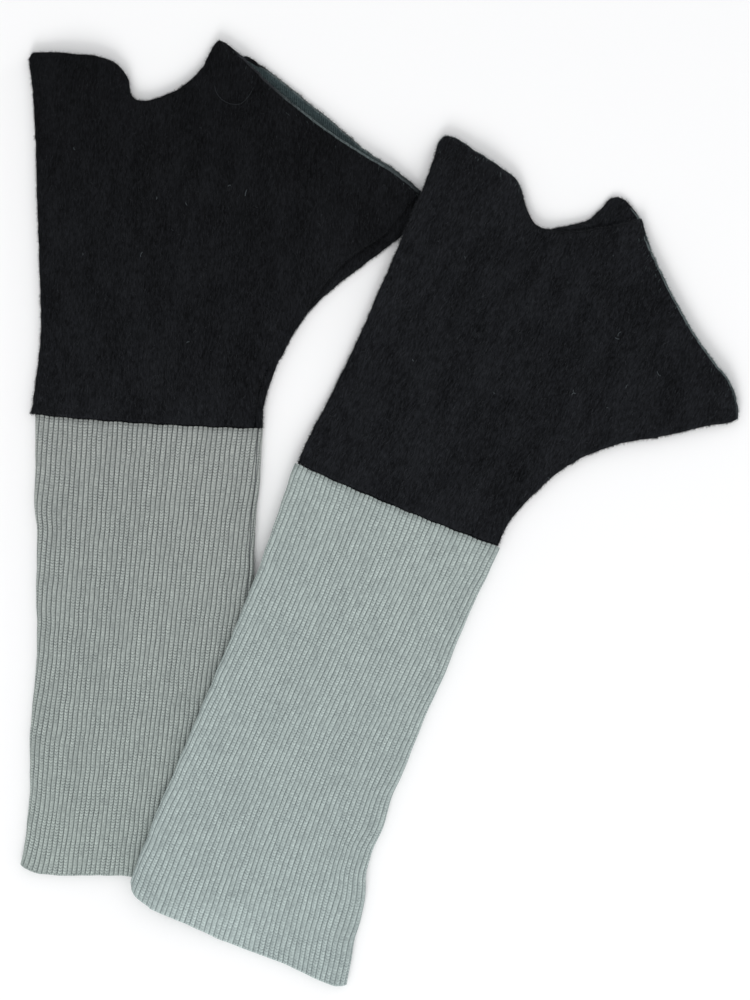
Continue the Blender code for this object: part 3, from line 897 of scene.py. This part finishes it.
def back_heights(mitten, places):
    """The underside and the top of a back panel at each place."""
    edges = edge_tree(mitten.back, SEWN + OPEN, with_wrist=True)
    opening = edge_tree(mitten.back, ["finger_opening"])
    front = edge_tree(mitten.front, SEWN + OPEN)
    covered = is_inside(outline_loop(mitten.front), places)
    under, top = [], []
    for (x, y), is_covered in zip(places, covered):
        floor = floor_height(mitten, x, y)
        away = distance(edges, x, y)
        roll, shown = 0.0, 0.0
        if not is_covered:
            beyond = max(distance(front, x, y) - ON_EDGE, 0.0)
            share = beyond / max(beyond + away, NO_WIDTH)
            grown = ease(distance(opening, x, y) / ROLL_RUN - ROLL_START)
            roll = SEAM_ROLL * sin(pi * share) * grown
            shown = ease(beyond)
        top_drop = INNER_DROP + (EVEN_DROP - INNER_DROP) * shown
        under_drop = OUTER_DROP + (EVEN_DROP - OUTER_DROP) * shown
        under.append(floor + rim_drop(away, RIM_REACH, under_drop))
        top.append(floor + FLEECE + roll - rim_drop(away, RIM_REACH, top_drop))
    return under, top


# %% The uneven outline
EDGE_ROUGH = 0.4                     # how far the nap makes a panel's outline uneven
ROUGH_LENGTH = 2.4
ROUGH_LAYERS = (0.4, 7.4)            # two layers of the noise: one shifts across, one along
ROUGH_REACH = 3.0


def roughen(places, outline):
    """Shift the places near a panel's outline a little, unevenly, but not at the wrist."""
    edges = edge_tree(outline, SEWN + OPEN)
    rough = places.copy()
    for index in np.ndindex(places.shape[:2]):
        x, y = places[index]
        share = ease(1 - distance(edges, x, y) / ROUGH_REACH) * ease(y / ROUGH_REACH)
        shift = [noise.noise((x / ROUGH_LENGTH, y / ROUGH_LENGTH, layer))
                 for layer in ROUGH_LAYERS]
        rough[index] += EDGE_ROUGH * share * np.array(shift)
    return rough


# %% Which cloth shows on each face
OUTSIDE, INSIDE, CUT_EDGE, SEAM = range(4)  # a panel's materials
EDGE_BAND = 0.9                      # how far the cut edge of the finger opening shows
SLIVER = 2.4                         # the outside rolled in along the finger opening's start
SLIVER_LENGTH = 12.5
GROOVE_LINE = 0.30                   # half the width of a sewn groove's bottom, painted as shadow


def choose_cloth(faces, inner, mitten, side):
    """Give each face its material; the black outside is rolled over the inside at a seam."""
    outline = getattr(mitten, side)
    seams = [(edge_tree(outline, [name]), mitten.turned_in[name]) for name in SEWN]
    opening = edge_tree(outline, ["finger_opening"])
    corner = Vector(outline.finger_opening[0])
    grooves = [tree for _, tree in trace(mitten.grooves)] if side == "front" else []
    for face in faces:
        place = face.calc_center_median().to_2d()
        from_opening = distance(opening, *place)
        sliver = SLIVER * (1 - (place - corner).length / SLIVER_LENGTH)
        if max(sliver, 0) < from_opening < EDGE_BAND:
            face.material_index = CUT_EDGE
        # Faces along a sewn groove get its painted shadow.
        elif any(distance(tree, *place) < GROOVE_LINE for tree in grooves):
            face.material_index = SEAM
        elif face in inner and from_opening >= sliver:
            rolled = any(distance(tree, *place) < width for tree, width in seams)
            face.material_index = OUTSIDE if rolled else INSIDE


# %% Building a panel
def make_panel(mitten, side, materials, fineness=1.0):
    """One hand panel: a grid closed to a slab, laid on the pattern, with folds and rims."""
    outline = getattr(mitten, side)
    across, up = panel_lines(fineness)
    places = panel_places(outline, across, up)
    heights = front_heights if side == "front" else back_heights
    under, top = (np.reshape(values, places.shape[:2])
                  for values in heights(mitten, places.reshape(-1, 2)))
    places = roughen(places, outline)
    columns, rows = len(across) - 1, len(up) - 1
    bm = bmesh.new()
    bmesh.ops.create_grid(bm, x_segments=columns, y_segments=rows, size=0.5, calc_uvs=True)
    bmesh.ops.solidify(bm, geom=bm.faces[:], thickness=1.0)
    inner_sign = 1 if side == "back" else -1
    inner = {face for face in bm.faces if face.normal.z * inner_sign > 0.5}
    for vert in bm.verts:
        spot = grid_spot(vert, rows, columns)
        vert.co = (*places[spot], (top if vert.co.z > -0.5 else under)[spot])
    choose_cloth(bm.faces, inner, mitten, side)
    return lay_down(f"{mitten.name}_{side}_panel", bm, mitten, materials)


# %% [markdown]
# ## The cuffs
# A cuff is one piece of knit, sewn into a tube with the ribs along it, then folded double so
# that the fold is the hem. The tube is made here in the same order: a grid is the unrolled
# cloth, its points are moved round a flat tube, down the outside, round the hem and back up
# the inside, and then the side seam is welded and the two wrist edges are bridged. Each tube
# lies a little twisted, so its ribs slant, and the lower one's side seam shows as a groove.

# %% Ribs, and the way round a flat tube
RIB_STOPS = (0.0, 0.07, 0.17, 0.32, 0.5, 0.68, 0.83, 0.93)   # columns across one rib
RIB_BREADTH = 3.2                    # 2 gives round ribs; more gives broader ones
HEM_TURNS = 6                        # rows round the fold at the hem
OUTSIDE_ROWS = 88
INSIDE_ROWS = 20
HEM_CROWDING = 1.15                  # rows stand closer near the hem
WELD = 1e-4                          # points closer than this become one, in millimetres


def rib_height(share):
    """A rib's height across its width: a broad round ridge between narrow valleys."""
    return sqrt(1 - abs(2 * share - 1) ** RIB_BREADTH)


def way_round(ribs):
    """Where a rib count lies round the tube: share across, and the way outwards there."""
    if ribs <= RIBS_ACROSS:
        return ribs / RIBS_ACROSS, 0.0, 1.0
    ribs -= RIBS_ACROSS
    if ribs <= RIBS_IN_FOLD:
        turn = pi * ribs / RIBS_IN_FOLD
        return 1.0, sin(turn), cos(turn)
    ribs -= RIBS_IN_FOLD
    if ribs <= RIBS_ACROSS:
        return 1 - ribs / RIBS_ACROSS, 0.0, -1.0
    turn = pi * (ribs - RIBS_ACROSS) / RIBS_IN_FOLD
    return 0.0, -sin(turn), -cos(turn)


def down_the_sheet():
    """Rows of the unrolled knit: (share of the cuff's length, turn of the hem fold)."""
    rows = [(share, 0.0) for share in 1 - crowded(OUTSIDE_ROWS, HEM_CROWDING)[::-1]]
    rows += [(1.0, pi * step / HEM_TURNS) for step in range(1, HEM_TURNS)]
    rows += [(share, pi) for share in np.linspace(1, 0, INSIDE_ROWS)]
    return rows


def close_tube(bm):
    """Weld the side seam, then bridge the outside's wrist edge to the inside's."""
    rim = {vert for edge in bm.edges if edge.is_boundary for vert in edge.verts}
    bmesh.ops.remove_doubles(bm, verts=list(rim), dist=WELD)
    ends = [edge for edge in bm.edges if edge.is_boundary]
    bmesh.ops.bridge_loops(bm, edges=ends)
    bmesh.ops.recalc_face_normals(bm, faces=bm.faces)


# %% The tube of knit
VALLEY_DEPTH = 0.60
SEAM_GROOVE = 0.9                    # depth of the groove along a cuff's side seam
SEAM_GROOVE_WIDTH = 0.25             # as a share of a rib
SIDE_DEGREE = 3                      # of the even curve that the ribs follow down a side
DENT_REACH = 0.2                     # how far over the width they follow a side's dents too
RIB_WANDER = 0.35                    # how far a rib strays from its straight line
WANDER_LENGTH = 9.0                  # over what length it does so
RIB_DIFFERENCE = 0.45                # and how far ribs side by side differ in it
WANDER_FADE = 5                      # ribs near a side stray less
EDGE_WANDER = 0.4                    # how uneven the cuff's sides and its hem are
EDGE_WANDER_LENGTH = 8.0
SIDE_POWER = 4                       # only what lies near a side is as uneven as the side
HEM_WAVES = 14                       # how often the hem's noise changes over its width
TOP_FROM = -0.5                      # the top's folds end here, from -1 below to 1 on top
FOLD_BULGE = 0.5                     # the knit resists its fold and stands up beside it
BULGE_WIDTH = 3.5
WRIST_DIP = 0.4                      # the seam presses the cuff down at the wrist
WRIST_DIP_REACH = 1.5


class CuffShape:
    """Gives each point of the unrolled knit its place on a flat folded tube."""

    def __init__(self, mitten):
        self.mitten = mitten
        self.wall, self.radius = KNIT / 2, CUFF_HEIGHT / 2
        self.left = smooth_line([(s.along, s.left) for s in mitten.cuff])[::-1].T
        self.right = smooth_line([(s.along, s.right) for s in mitten.cuff])[::-1].T
        self.hem = smooth_line([(h.share, h.along) for h in mitten.hem]).T
        self.even = [np.poly1d(np.polyfit(*side, SIDE_DEGREE))
                     for side in (self.left, self.right)]
        self.top, self.last = mitten.cuff[0].along, mitten.cuff[-1].along
        self.folds = trace(mitten.cuff_folds)

    def stray(self, most, x, y):
        """A steady noise, so that nothing runs quite straight."""
        return most * noise.noise((x, y, self.mitten.turn))

    def inward(self, ribs, here, share_down, turn):
        """How far a point lies in from the tube's outer face."""
        inward = self.wall * (1 - cos(turn))
        if turn < pi:
            at_wrist, at_hem = self.mitten.rib_depth
            depth = VALLEY_DEPTH * (at_wrist + (at_hem - at_wrist) * share_down)
            depth *= 1 - rib_height(ribs % 1.0)
            from_seam = (here - RIBS_ACROSS) / SEAM_GROOVE_WIDTH
            depth += self.mitten.seam_depth * SEAM_GROOVE * exp(-from_seam ** 2)
            inward += depth * cos(turn / 2)
        return inward

    def across(self, sides, here, share, nominal, outward):
        """How far across a point lies, between sides that run unevenly."""
        left, right = sides
        x = left + self.radius + (right - left - 2 * self.radius) * share
        x += (np.interp(nominal, *self.left) - left) * ease(1 - share / DENT_REACH)
        x += (np.interp(nominal, *self.right) - right) * ease(1 - (1 - share) / DENT_REACH)
        side = 2 * share - 1
        wander = self.stray(RIB_WANDER, RIB_DIFFERENCE * here, nominal / WANDER_LENGTH)
        wander *= min(1.0, WANDER_FADE * (1 - abs(side)))
        uneven = self.stray(EDGE_WANDER, side, nominal / EDGE_WANDER_LENGTH)
        return x + (outward + wander + side ** SIDE_POWER * uneven)

    def along(self, share, share_down, turn, out_across):
        """How far along a point lies, between the wrist seam and an uneven hem."""
        wrist_line = self.top - wrist_sag(share)
        hem_line = np.interp(share, *self.hem) + self.wall
        hem_line += self.stray(EDGE_WANDER, share * HEM_WAVES, 0.0)
        hem_line += self.mitten.hem_corners[out_across > 0] * abs(out_across)
        return wrist_line + (hem_line - wrist_line) * share_down - self.wall * sin(turn)

    def place(self, ribs, share_down, turn):
        """The place of a point: its rib round the tube, and its row down the sheet."""
        here = (ribs - self.mitten.twist * share_down) % RIBS_ROUND
        share, out_across, out_height = way_round(here)
        nominal = self.top + (self.last - self.top) * share_down
        left, right = (line(nominal) for line in self.even)
        radius = self.radius - self.inward(ribs, here, share_down, turn)
        x = self.across((left, right), here, share, nominal, radius * out_across)
        y = self.along(share, share_down, turn, out_across)
        height = self.radius + radius * out_height
        if out_height > TOP_FROM:
            up = (out_height - TOP_FROM) / (1 - TOP_FROM)
            from_fold = min(share, 1 - share) * (right - left)
            height += up * FOLD_BULGE * exp(-(from_fold / BULGE_WIDTH) ** 2)
            height += up * (fold_height(self.folds, x, y) + wave_height(self.mitten, x, y))
            height -= up * WRIST_DIP * exp(-((self.top - y) / WRIST_DIP_REACH))
        return x, y, height + floor_height(self.mitten, x, y)


# %% Building a cuff
def make_cuff(mitten, material):
    """A cuff: the unrolled knit laid round a flat tube and folded double at the hem."""
    shape = CuffShape(mitten)
    per_rib = len(RIB_STOPS)
    columns = RIBS_ROUND * per_rib
    ribs = [column // per_rib + RIB_STOPS[column % per_rib] for column in range(columns + 1)]
    rows = down_the_sheet()
    sheet = [-shape.last * share if turn < pi / 2 else SHEET_LENGTH + shape.last * share
             for share, turn in rows]
    bm = bmesh.new()
    bmesh.ops.create_grid(bm, x_segments=columns, y_segments=len(rows) - 1, size=0.5)
    uv = bm.loops.layers.uv.verify()
    for face in bm.faces:
        for loop in face.loops:
            row, column = grid_spot(loop.vert, len(rows) - 1, columns)
            loop[uv].uv = (ribs[column] / RIBS_ROUND, sheet[row] / SHEET_LENGTH)
    for vert in bm.verts:
        row, column = grid_spot(vert, len(rows) - 1, columns)
        vert.co = shape.place(ribs[column], *rows[row])
    close_tube(bm)
    return lay_down(f"{mitten.name}_rib_cuff", bm, mitten, [material])


# %% Make both mittens
FINENESS = {"front": 1.0, "back": 0.7}  # of the panels' grids; the back is mostly hidden
panels, cuffs = {}, {}
for mitten in (LOWER, UPPER):
    fleece, inside, seam = make_fleece(mitten), make_inside(mitten), make_seam_shadow(mitten)
    front, back = (
        make_panel(mitten, side, [fleece, inside, make_cut_edge(mitten, side), seam], fineness)
        for side, fineness in FINENESS.items())
    cuff = make_cuff(mitten, make_knit(mitten))
    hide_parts(f"{mitten.name}_hand_front")
    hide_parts(f"{mitten.name}_hand_back")
    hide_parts(f"{mitten.name}_cuff")
    panels[mitten.name] = (front, back)
    cuffs[mitten.name] = cuff

# %% [markdown]
# ## The nap
# Brushed fleece ends in short fibres, which show as fuzz along its edges and as fine streaks
# on its face. Hair strands could grow them, but they would have to be turned into a mesh in
# the end. So one fibre is made with the cone operator, and numpy lays tens of thousands of
# copies of it on the panels and joins them into one mesh. Each fibre has a random tone, kept
# in the UV map: U is the tone and V runs from the root to the end.

# %% Where the fibres grow
FIBRES = 34000                       # on one mitten
EDGE_SHARE = 7.0                     # a rim has this many times the fibres of a flat
NOT_UNDER = -0.2                     # they grow where a face looks up by more than this
RIM_TILT = 0.75                      # and one that looks up by less than this is at a rim
NO_AREA = 1e-12                      # a triangle smaller than this gets none
SKY_START = 0.3                      # looking up starts this far above a place


def outside_triangles(piece):
    """The triangles of a piece that are its brushed outside: corners and ways out."""
    mesh = piece.data
    mesh.calc_loop_triangles()
    triangles = mesh.loop_triangles
    corners = np.array([[mesh.vertices[v].co for v in t.vertices] for t in triangles
                        if t.material_index in (OUTSIDE, CUT_EDGE) and t.normal.z > NOT_UNDER])
    across = np.cross(corners[:, 1] - corners[:, 0], corners[:, 2] - corners[:, 0])
    areas = np.linalg.norm(across, axis=1, keepdims=True) / 2
    corners, across, areas = (x[areas[:, 0] > NO_AREA] for x in (corners, across, areas))
    return corners, across / (2 * areas), areas[:, 0]


def scatter(pieces, rng, count):
    """Random places on the outside of these pieces, and the way out at each."""
    found = [outside_triangles(piece) for piece in pieces]
    corners, normals, areas = (np.concatenate(part) for part in zip(*found))
    weights = areas * np.where(np.abs(normals[:, 2]) < RIM_TILT, EDGE_SHARE, 1.0)
    chosen = rng.choice(len(areas), size=count, p=weights / weights.sum())
    a, b = np.sqrt(rng.random(count)), rng.random(count)
    shares = np.stack([1 - a, a * (1 - b), a * b], axis=-1)
    return np.einsum("nk,nkd->nd", shares, corners[chosen]), normals[chosen]


def face_tree(piece):
    """A search tree that finds where a ray meets this piece."""
    mesh = piece.data
    faces = [polygon.vertices for polygon in mesh.polygons]
    return BVHTree.FromPolygons([vert.co for vert in mesh.vertices], faces)


def open_to_the_sky(places, cover):
    """Whether each place lies free of the piece that covers others."""
    tree = face_tree(cover)
    above = [tree.ray_cast((x, y, z + SKY_START * MM), (0, 0, 1))[0] for x, y, z in places]
    return np.array([hit is None for hit in above])


# %% The shape of a fibre, and which way each one points
FIBRE_LEAN = (0.06, 0.30)            # how steeply fibres rise from the face, as a sine
LOOSENESS = 0.35                     # how much their ways differ
RIM_LOOSENESS = 1.6                  # how many times more at a rim
RIM_DOWN = 0.3                       # how much of the nap's way they keep there
RIM_FLATNESS = 0.4                   # and how much of their rise


def needle():
    """The corners and faces of one fibre: a thin cone along Z, one long, its root at 0."""
    bm = bmesh.new()
    bmesh.ops.create_cone(bm, cap_ends=True, segments=3, radius1=0.5, radius2=0.0, depth=1.0)
    corners = np.array([vert.co for vert in bm.verts]) + (0, 0, 0.5)
    faces = np.array([[vert.index for vert in face.verts] for face in bm.faces])
    bm.free()
    return corners, faces


def unit(rows):
    """Each row made one long."""
    return rows / np.linalg.norm(rows, axis=1, keepdims=True)


def nap_directions(mitten, normals, rng):
    """Which way each fibre points: down the mitten on a flat, and outwards at a rim."""
    down = np.array(frame_of(mitten).to_3x3() @ Vector((0, -1, 0)))
    loose = rng.normal(0.0, LOOSENESS, normals.shape)
    flat = down + loose
    flat -= normals * np.sum(flat * normals, axis=1, keepdims=True)
    lean = rng.uniform(*FIBRE_LEAN, (len(normals), 1))
    lying = unit(flat) * np.sqrt(1 - lean ** 2) + normals * lean
    sticking = normals + RIM_LOOSENESS * loose + RIM_DOWN * down
    sticking[:, 2] = np.abs(sticking[:, 2]) * RIM_FLATNESS
    at_rim = np.abs(normals[:, 2:]) < RIM_TILT
    return unit(np.where(at_rim, sticking, lying)), at_rim[:, 0]


# %% Joining the fibres to one mesh
FIBRE_WIDTH = 0.14
FIBRE_LENGTHS = (1.0, 2.4)
RIM_LENGTH = 0.6                     # a fibre at a rim has this share of its length
ROOT_DEPTH = 0.1
TONE_POWER = 3                       # the higher, the fewer fibres are pale
RIM_SHEEN_TONE = 0.45                      # painted sheen: a fibre at a rim is at least this pale
OPENING_FUZZ = 1.2                   # how near an opening most fibres are teal-grey


def join_copies(name, corners, faces, shares):
    """One mesh of many copies of a small closed shape, with its tones in the UV map."""
    count, per_copy = corners.shape[:2]
    offsets = per_copy * np.arange(count)[:, None, None]
    mesh = bpy.data.meshes.new(name)
    mesh.from_pydata(corners.reshape(-1, 3), [], (faces[None] + offsets).reshape(-1, 3))
    around = shares[:, faces.ravel()].reshape(-1, 2)
    mesh.uv_layers.new(name="UVMap").data.foreach_set("uv", around.ravel())
    return mesh


def is_fuzz(mitten, places, rng):
    """Whether each fibre is teal-grey fuzz, pale with painted sheen, as most are beside those
    openings.
    """
    opening = edge_tree(mitten.front, mitten.fuzzy_edges)
    to_pattern = frame_of(mitten).inverted() @ Matrix.Scale(1 / MM, 4)
    away = [distance(opening, *(to_pattern @ Vector(place)).to_2d()) for place in places]
    return np.array(away) < rng.exponential(OPENING_FUZZ, len(places))


def make_nap(mitten, front, back, materials, rng):
    """The short fibres on the brushed outside of one mitten's hand."""
    places, normals = scatter([front, back], rng, FIBRES)
    free = open_to_the_sky(places, front)
    places, normals = places[free], normals[free]
    ways, at_rim = nap_directions(mitten, normals, rng)
    lengths = rng.uniform(*FIBRE_LENGTHS, len(places)) * np.where(at_rim, RIM_LENGTH, 1.0)
    sides = unit(np.cross(ways, rng.normal(size=ways.shape)))
    frames = np.stack([sides * FIBRE_WIDTH, np.cross(ways, sides) * FIBRE_WIDTH,
                       ways * lengths[:, None]], axis=1) * MM
    corners, faces = needle()
    copies = corners @ frames + (places - ways * ROOT_DEPTH * MM)[:, None]
    tones = rng.random(len(places)) ** TONE_POWER
    tones = np.maximum(tones, np.where(at_rim, RIM_SHEEN_TONE, 0.0))
    shares = np.stack(np.broadcast_arrays(tones[:, None], corners[None, :, 2]), axis=-1)
    mesh = join_copies(f"{mitten.name}_nap", copies, faces, shares)
    fuzz = is_fuzz(mitten, places, rng)
    mesh.polygons.foreach_set("material_index", np.repeat(fuzz, len(faces)).astype(np.int32))
    nap = add_piece(f"{mitten.name}_nap", mesh, materials)
    print(f"{nap.name}: {len(places)} fibres")


# %% The fibres' colours, and the nap on both mittens
FIBRE_DEEP = (0.0018, 0.0021, 0.0027, 1)
FIBRE_LIGHT = (0.0620, 0.0670, 0.0740, 1)
# Teal-grey fuzz at the openings: real loose fibres, made pale as painted sheen
FUZZ_DEEP = (0.020, 0.028, 0.030, 1)
FUZZ_LIGHT = (0.230, 0.290, 0.290, 1)
END_LIGHT = 0.3                      # how much of a fibre's tone comes only towards its end


def make_fibre(mitten, name, deep, light):
    """The yarn of the nap: a tone from U, lighter at the end, times the fleece's painted shade.
    """
    material, shader, wire = cloth_material(f"{mitten.name} {name}", roughness=0.85)
    shares = wire.node("ShaderNodeUVMap")
    tone = part_of(shares, "X") * (1 - END_LIGHT + END_LIGHT * part_of(shares, "Y"))
    painted_shade_here = shade(up_the_hand(pattern_place(wire, mitten)), *mitten.fleece_light)
    tone.mix(deep, light).times(painted_shade_here).into(shader, "Base Color")
    return material


SEED = 7
rng = np.random.default_rng(SEED)
for mitten in (LOWER, UPPER):
    fibres = [make_fibre(mitten, "nap", FIBRE_DEEP, FIBRE_LIGHT),
              make_fibre(mitten, "edge fuzz", FUZZ_DEEP, FUZZ_LIGHT)]
    make_nap(mitten, *panels[mitten.name], fibres, rng)

# %% [markdown]
# ## Lint
# Black fleece catches lint: pale curled fibres, here and there. Specks could be painted by the
# fleece's material, but real ones lie on the nap and curl, so each is a thin tube that the spin
# operator bends from a small ring. The lower mitten also has one long loose thread.

# %% Lint and the loose thread
Lint = namedtuple("Lint", "x y turn bend length is_dim", defaults=[False])
LINT_THICKNESS = 0.13
LINT_SIDES, LINT_STEPS = 5, 7
LINT_HEIGHT = 0.30                   # above the cloth, so that it lies on the nap
LINT_SPOTS = {
    "lower": [Lint(37.2, 101.8, -2, 0.3, 3.0), Lint(-7, 72, 20, 1.2, 2.4),
              Lint(12, 96, 60, 1.0, 1.6),
              Lint(32.7, 142.3, -51, -0.6, 9.2, is_dim=True),
              Lint(32.7, 142.3, 108, 1.7, 16.0, is_dim=True)],
    "upper": [Lint(61, 106, 30, 1.6, 2.6), Lint(62, 105, 120, 1.0, 2.0),
              Lint(52, 74, 10, 2.0, 2.4), Lint(53, 75, 70, 1.2, 2.0),
              Lint(85, 97, 100, 1.4, 2.6), Lint(73, 86, 40, 1.8, 2.0)],
}


def bent_fibre(lint):
    """A mesh of one lint fibre: a ring swept along an arc, closed at both ends."""
    bm = bmesh.new()
    bmesh.ops.create_circle(bm, radius=LINT_THICKNESS / 2, segments=LINT_SIDES)
    radius = lint.length / lint.bend
    bmesh.ops.spin(bm, geom=bm.verts[:] + bm.edges[:], cent=(radius, 0, 0), axis=(0, 1, 0),
                   angle=lint.bend, steps=LINT_STEPS)
    bmesh.ops.holes_fill(bm, edges=[edge for edge in bm.edges if edge.is_boundary])
    bmesh.ops.recalc_face_normals(bm, faces=bm.faces)
    flat = Matrix.Rotation(radians(lint.turn), 4, "Z") @ Matrix.Rotation(-pi / 2, 4, "X")
    bm.transform(Matrix.Translation((lint.x, lint.y, 0)) @ flat)
    return mesh_of("one fibre", bm)


# %% Laying the lint
RANDOM_LINT = 22                     # small ones, besides those in the lists above
RANDOM_ACROSS, RANDOM_ALONG = (-40, 95), (8, 140)
RANDOM_TURNS = (0, 360)
RANDOM_BENDS = (0.5, 2.5)
RANDOM_LENGTHS = (0.6, 1.8)
DIM_SHARE = 0.7                      # of the random ones
PALE_LINT = (0.12, 0.14, 0.15, 1)
DIM_THREAD = (0.036, 0.040, 0.044, 1)


def lint_on(mitten, rng):
    """All the lint of a mitten: that in its list, and small random ones on its front."""
    spots = list(LINT_SPOTS[mitten.name])
    loop = outline_loop(mitten.front)
    while len(spots) < len(LINT_SPOTS[mitten.name]) + RANDOM_LINT:
        x, y = rng.uniform(*RANDOM_ACROSS), rng.uniform(*RANDOM_ALONG)
        if is_inside(loop, np.array([x, y])):
            spots.append(Lint(x, y, rng.uniform(*RANDOM_TURNS), rng.uniform(*RANDOM_BENDS),
                              rng.uniform(*RANDOM_LENGTHS), is_dim=rng.random() < DIM_SHARE))
    return spots


def make_lint(mitten, front, rng):
    """The lint on one mitten, all in one piece, laid on the front panel."""
    bm = bmesh.new()
    for lint in lint_on(mitten, rng):
        fibre = bent_fibre(lint)
        fibre.polygons.foreach_set("material_index", [int(lint.is_dim)] * len(fibre.polygons))
        bm.from_mesh(fibre)
        bpy.data.meshes.remove(fibre)
    tree = face_tree(front)
    to_world = Matrix.Scale(MM, 4) @ frame_of(mitten)
    for vert in bm.verts:
        x, y, _ = to_world @ vert.co
        hit = tree.ray_cast((x, y, 1.0), (0, 0, -1))[0]
        vert.co.z += LINT_HEIGHT + (hit.z / MM if hit else floor_height(mitten, *vert.co[:2]))
    materials = [cloth_material(f"{mitten.name} {name}", roughness=0.9, colour=colour)[0]
                 for name, colour in (("lint", PALE_LINT), ("loose thread", DIM_THREAD))]
    piece = lay_down(f"{mitten.name}_lint", bm, mitten, materials)


for mitten in (LOWER, UPPER):
    make_lint(mitten, panels[mitten.name][0], rng)

# %% [markdown]
# ## The cut of each piece
# Cloth keeps the size it was cut to, so the size of each cut is printed: its width, its length
# and, where the cut is no rectangle, its area. A hand panel's area comes from its own outline. A
# cuff's width is given all round, as long as it shows; the whole cut is twice as long and folded
# double.

# %% Print the cuts
def cut_size(loop):
    """The width, length and area of an outline, in metres."""
    width, length = (loop.max(axis=0) - loop.min(axis=0)) * MM
    x, y = loop.T * MM
    area = abs(np.sum(x * np.roll(y, -1) - y * np.roll(x, -1))) / 2
    return (float(width), float(length)), float(area)


for mitten in (LOWER, UPPER):
    lies_on = "lower_hand_back" if mitten is UPPER else "floor"
    for piece, side, under in zip(panels[mitten.name], ("front", "back"),
                                  (f"{mitten.name}_hand_back", lies_on)):
        flat, area = cut_size(outline_loop(getattr(mitten, side)))
        print(f"{piece.name}: cut {flat[0]:.3f} x {flat[1]:.3f} m, {area:.4f} square metres")
    widths = [section.right - section.left for section in mitten.cuff]
    flat = (2 * MM * sum(widths) / len(widths), -MM * mitten.cuff[-1].along)
    under = "lower_cuff" if mitten is UPPER else "floor"
    print(f"{mitten.name} cuff: {flat[0]:.3f} x {flat[1]:.3f} m, all round and as shown")

# %% [markdown]
# ## Floor, light and camera
# The pair lies on a plain white table. A large soft light stands beyond the hems, a little to
# the left: it lights the left side of the lower cuff's ribs and the right side of the upper
# one's, as the two cuffs lie at different angles. A small weak one shines low from the other
# side. One light straight above would be simpler, but it would leave no shade in the ribs. A
# pale sky fills the shadows, and the camera looks straight down.

# %% The floor
FLOOR_SIZE = 8.0
FLOOR_DROP = 0.0002
FLOOR_WHITE = (0.93, 0.93, 0.93, 1)
FLOOR_ROUGHNESS = 0.9


def make_floor():
    """A plain pale floor."""
    bm = bmesh.new()
    bmesh.ops.create_grid(bm, x_segments=1, y_segments=1, size=FLOOR_SIZE / 2)
    bmesh.ops.translate(bm, vec=(0, 0, -FLOOR_DROP), verts=bm.verts)
    material = bpy.data.materials.new("white table")
    material.use_nodes = True
    shader = material.node_tree.nodes["Principled BSDF"]
    shader.inputs["Base Color"].default_value = FLOOR_WHITE
    shader.inputs["Roughness"].default_value = FLOOR_ROUGHNESS
    floor = add_object("floor", mesh_of("floor", bm))
    floor.data.materials.append(material)


make_floor()
print("floor:", FLOOR_SIZE, "m wide")

# %% Sky and lights
SKY_COLOUR = (0.985, 0.99, 1.0, 1)
SKY_STRENGTH = 0.8
Light = namedtuple("Light", "name place size power")
LIGHTS = [
    Light("soft window", place=(-0.55, -2.6, 1.6), size=1.4, power=52.0),
    Light("low fill", place=(2.2, 1.5, 0.35), size=0.8, power=14.0),
]


def make_sky():
    """An even pale light from all round."""
    world = bpy.data.worlds.new("studio")
    world.use_nodes = True
    background = world.node_tree.nodes["Background"]
    background.inputs["Color"].default_value = SKY_COLOUR
    background.inputs["Strength"].default_value = SKY_STRENGTH
    bpy.context.scene.world = world


def make_light(light):
    """A square soft light that looks at the middle of the pair."""
    data = bpy.data.lights.new(light.name, "AREA")
    data.size, data.energy = light.size, light.power
    lamp = add_object(light.name, data)
    lamp.location = light.place
    lamp.rotation_euler = (-Vector(light.place)).to_track_quat("-Z", "Y").to_euler()
    print(f"{light.name}: {light.power} W, {light.size} m wide")


make_sky()
for light in LIGHTS:
    make_light(light)

# %% The camera
VIEW_CENTRE = (-0.00135, 0.00616)    # the middle of the picture, in metres
VIEW_HEIGHT = 0.4425                 # what the picture covers from top to bottom
CAMERA_HEIGHT = 1.6
SENSOR = 36.0


def make_camera():
    """A camera straight above, framed like the picture."""
    data = bpy.data.cameras.new("camera")
    data.sensor_width = SENSOR
    data.lens = SENSOR * CAMERA_HEIGHT / VIEW_HEIGHT
    camera = add_object("camera", data)
    camera.location = (*VIEW_CENTRE, CAMERA_HEIGHT)
    bpy.context.scene.camera = camera
    print(f"camera: {CAMERA_HEIGHT} m up, lens {data.lens:.0f} mm")


make_camera()
bpy.context.scene.view_settings.view_transform = "Standard"
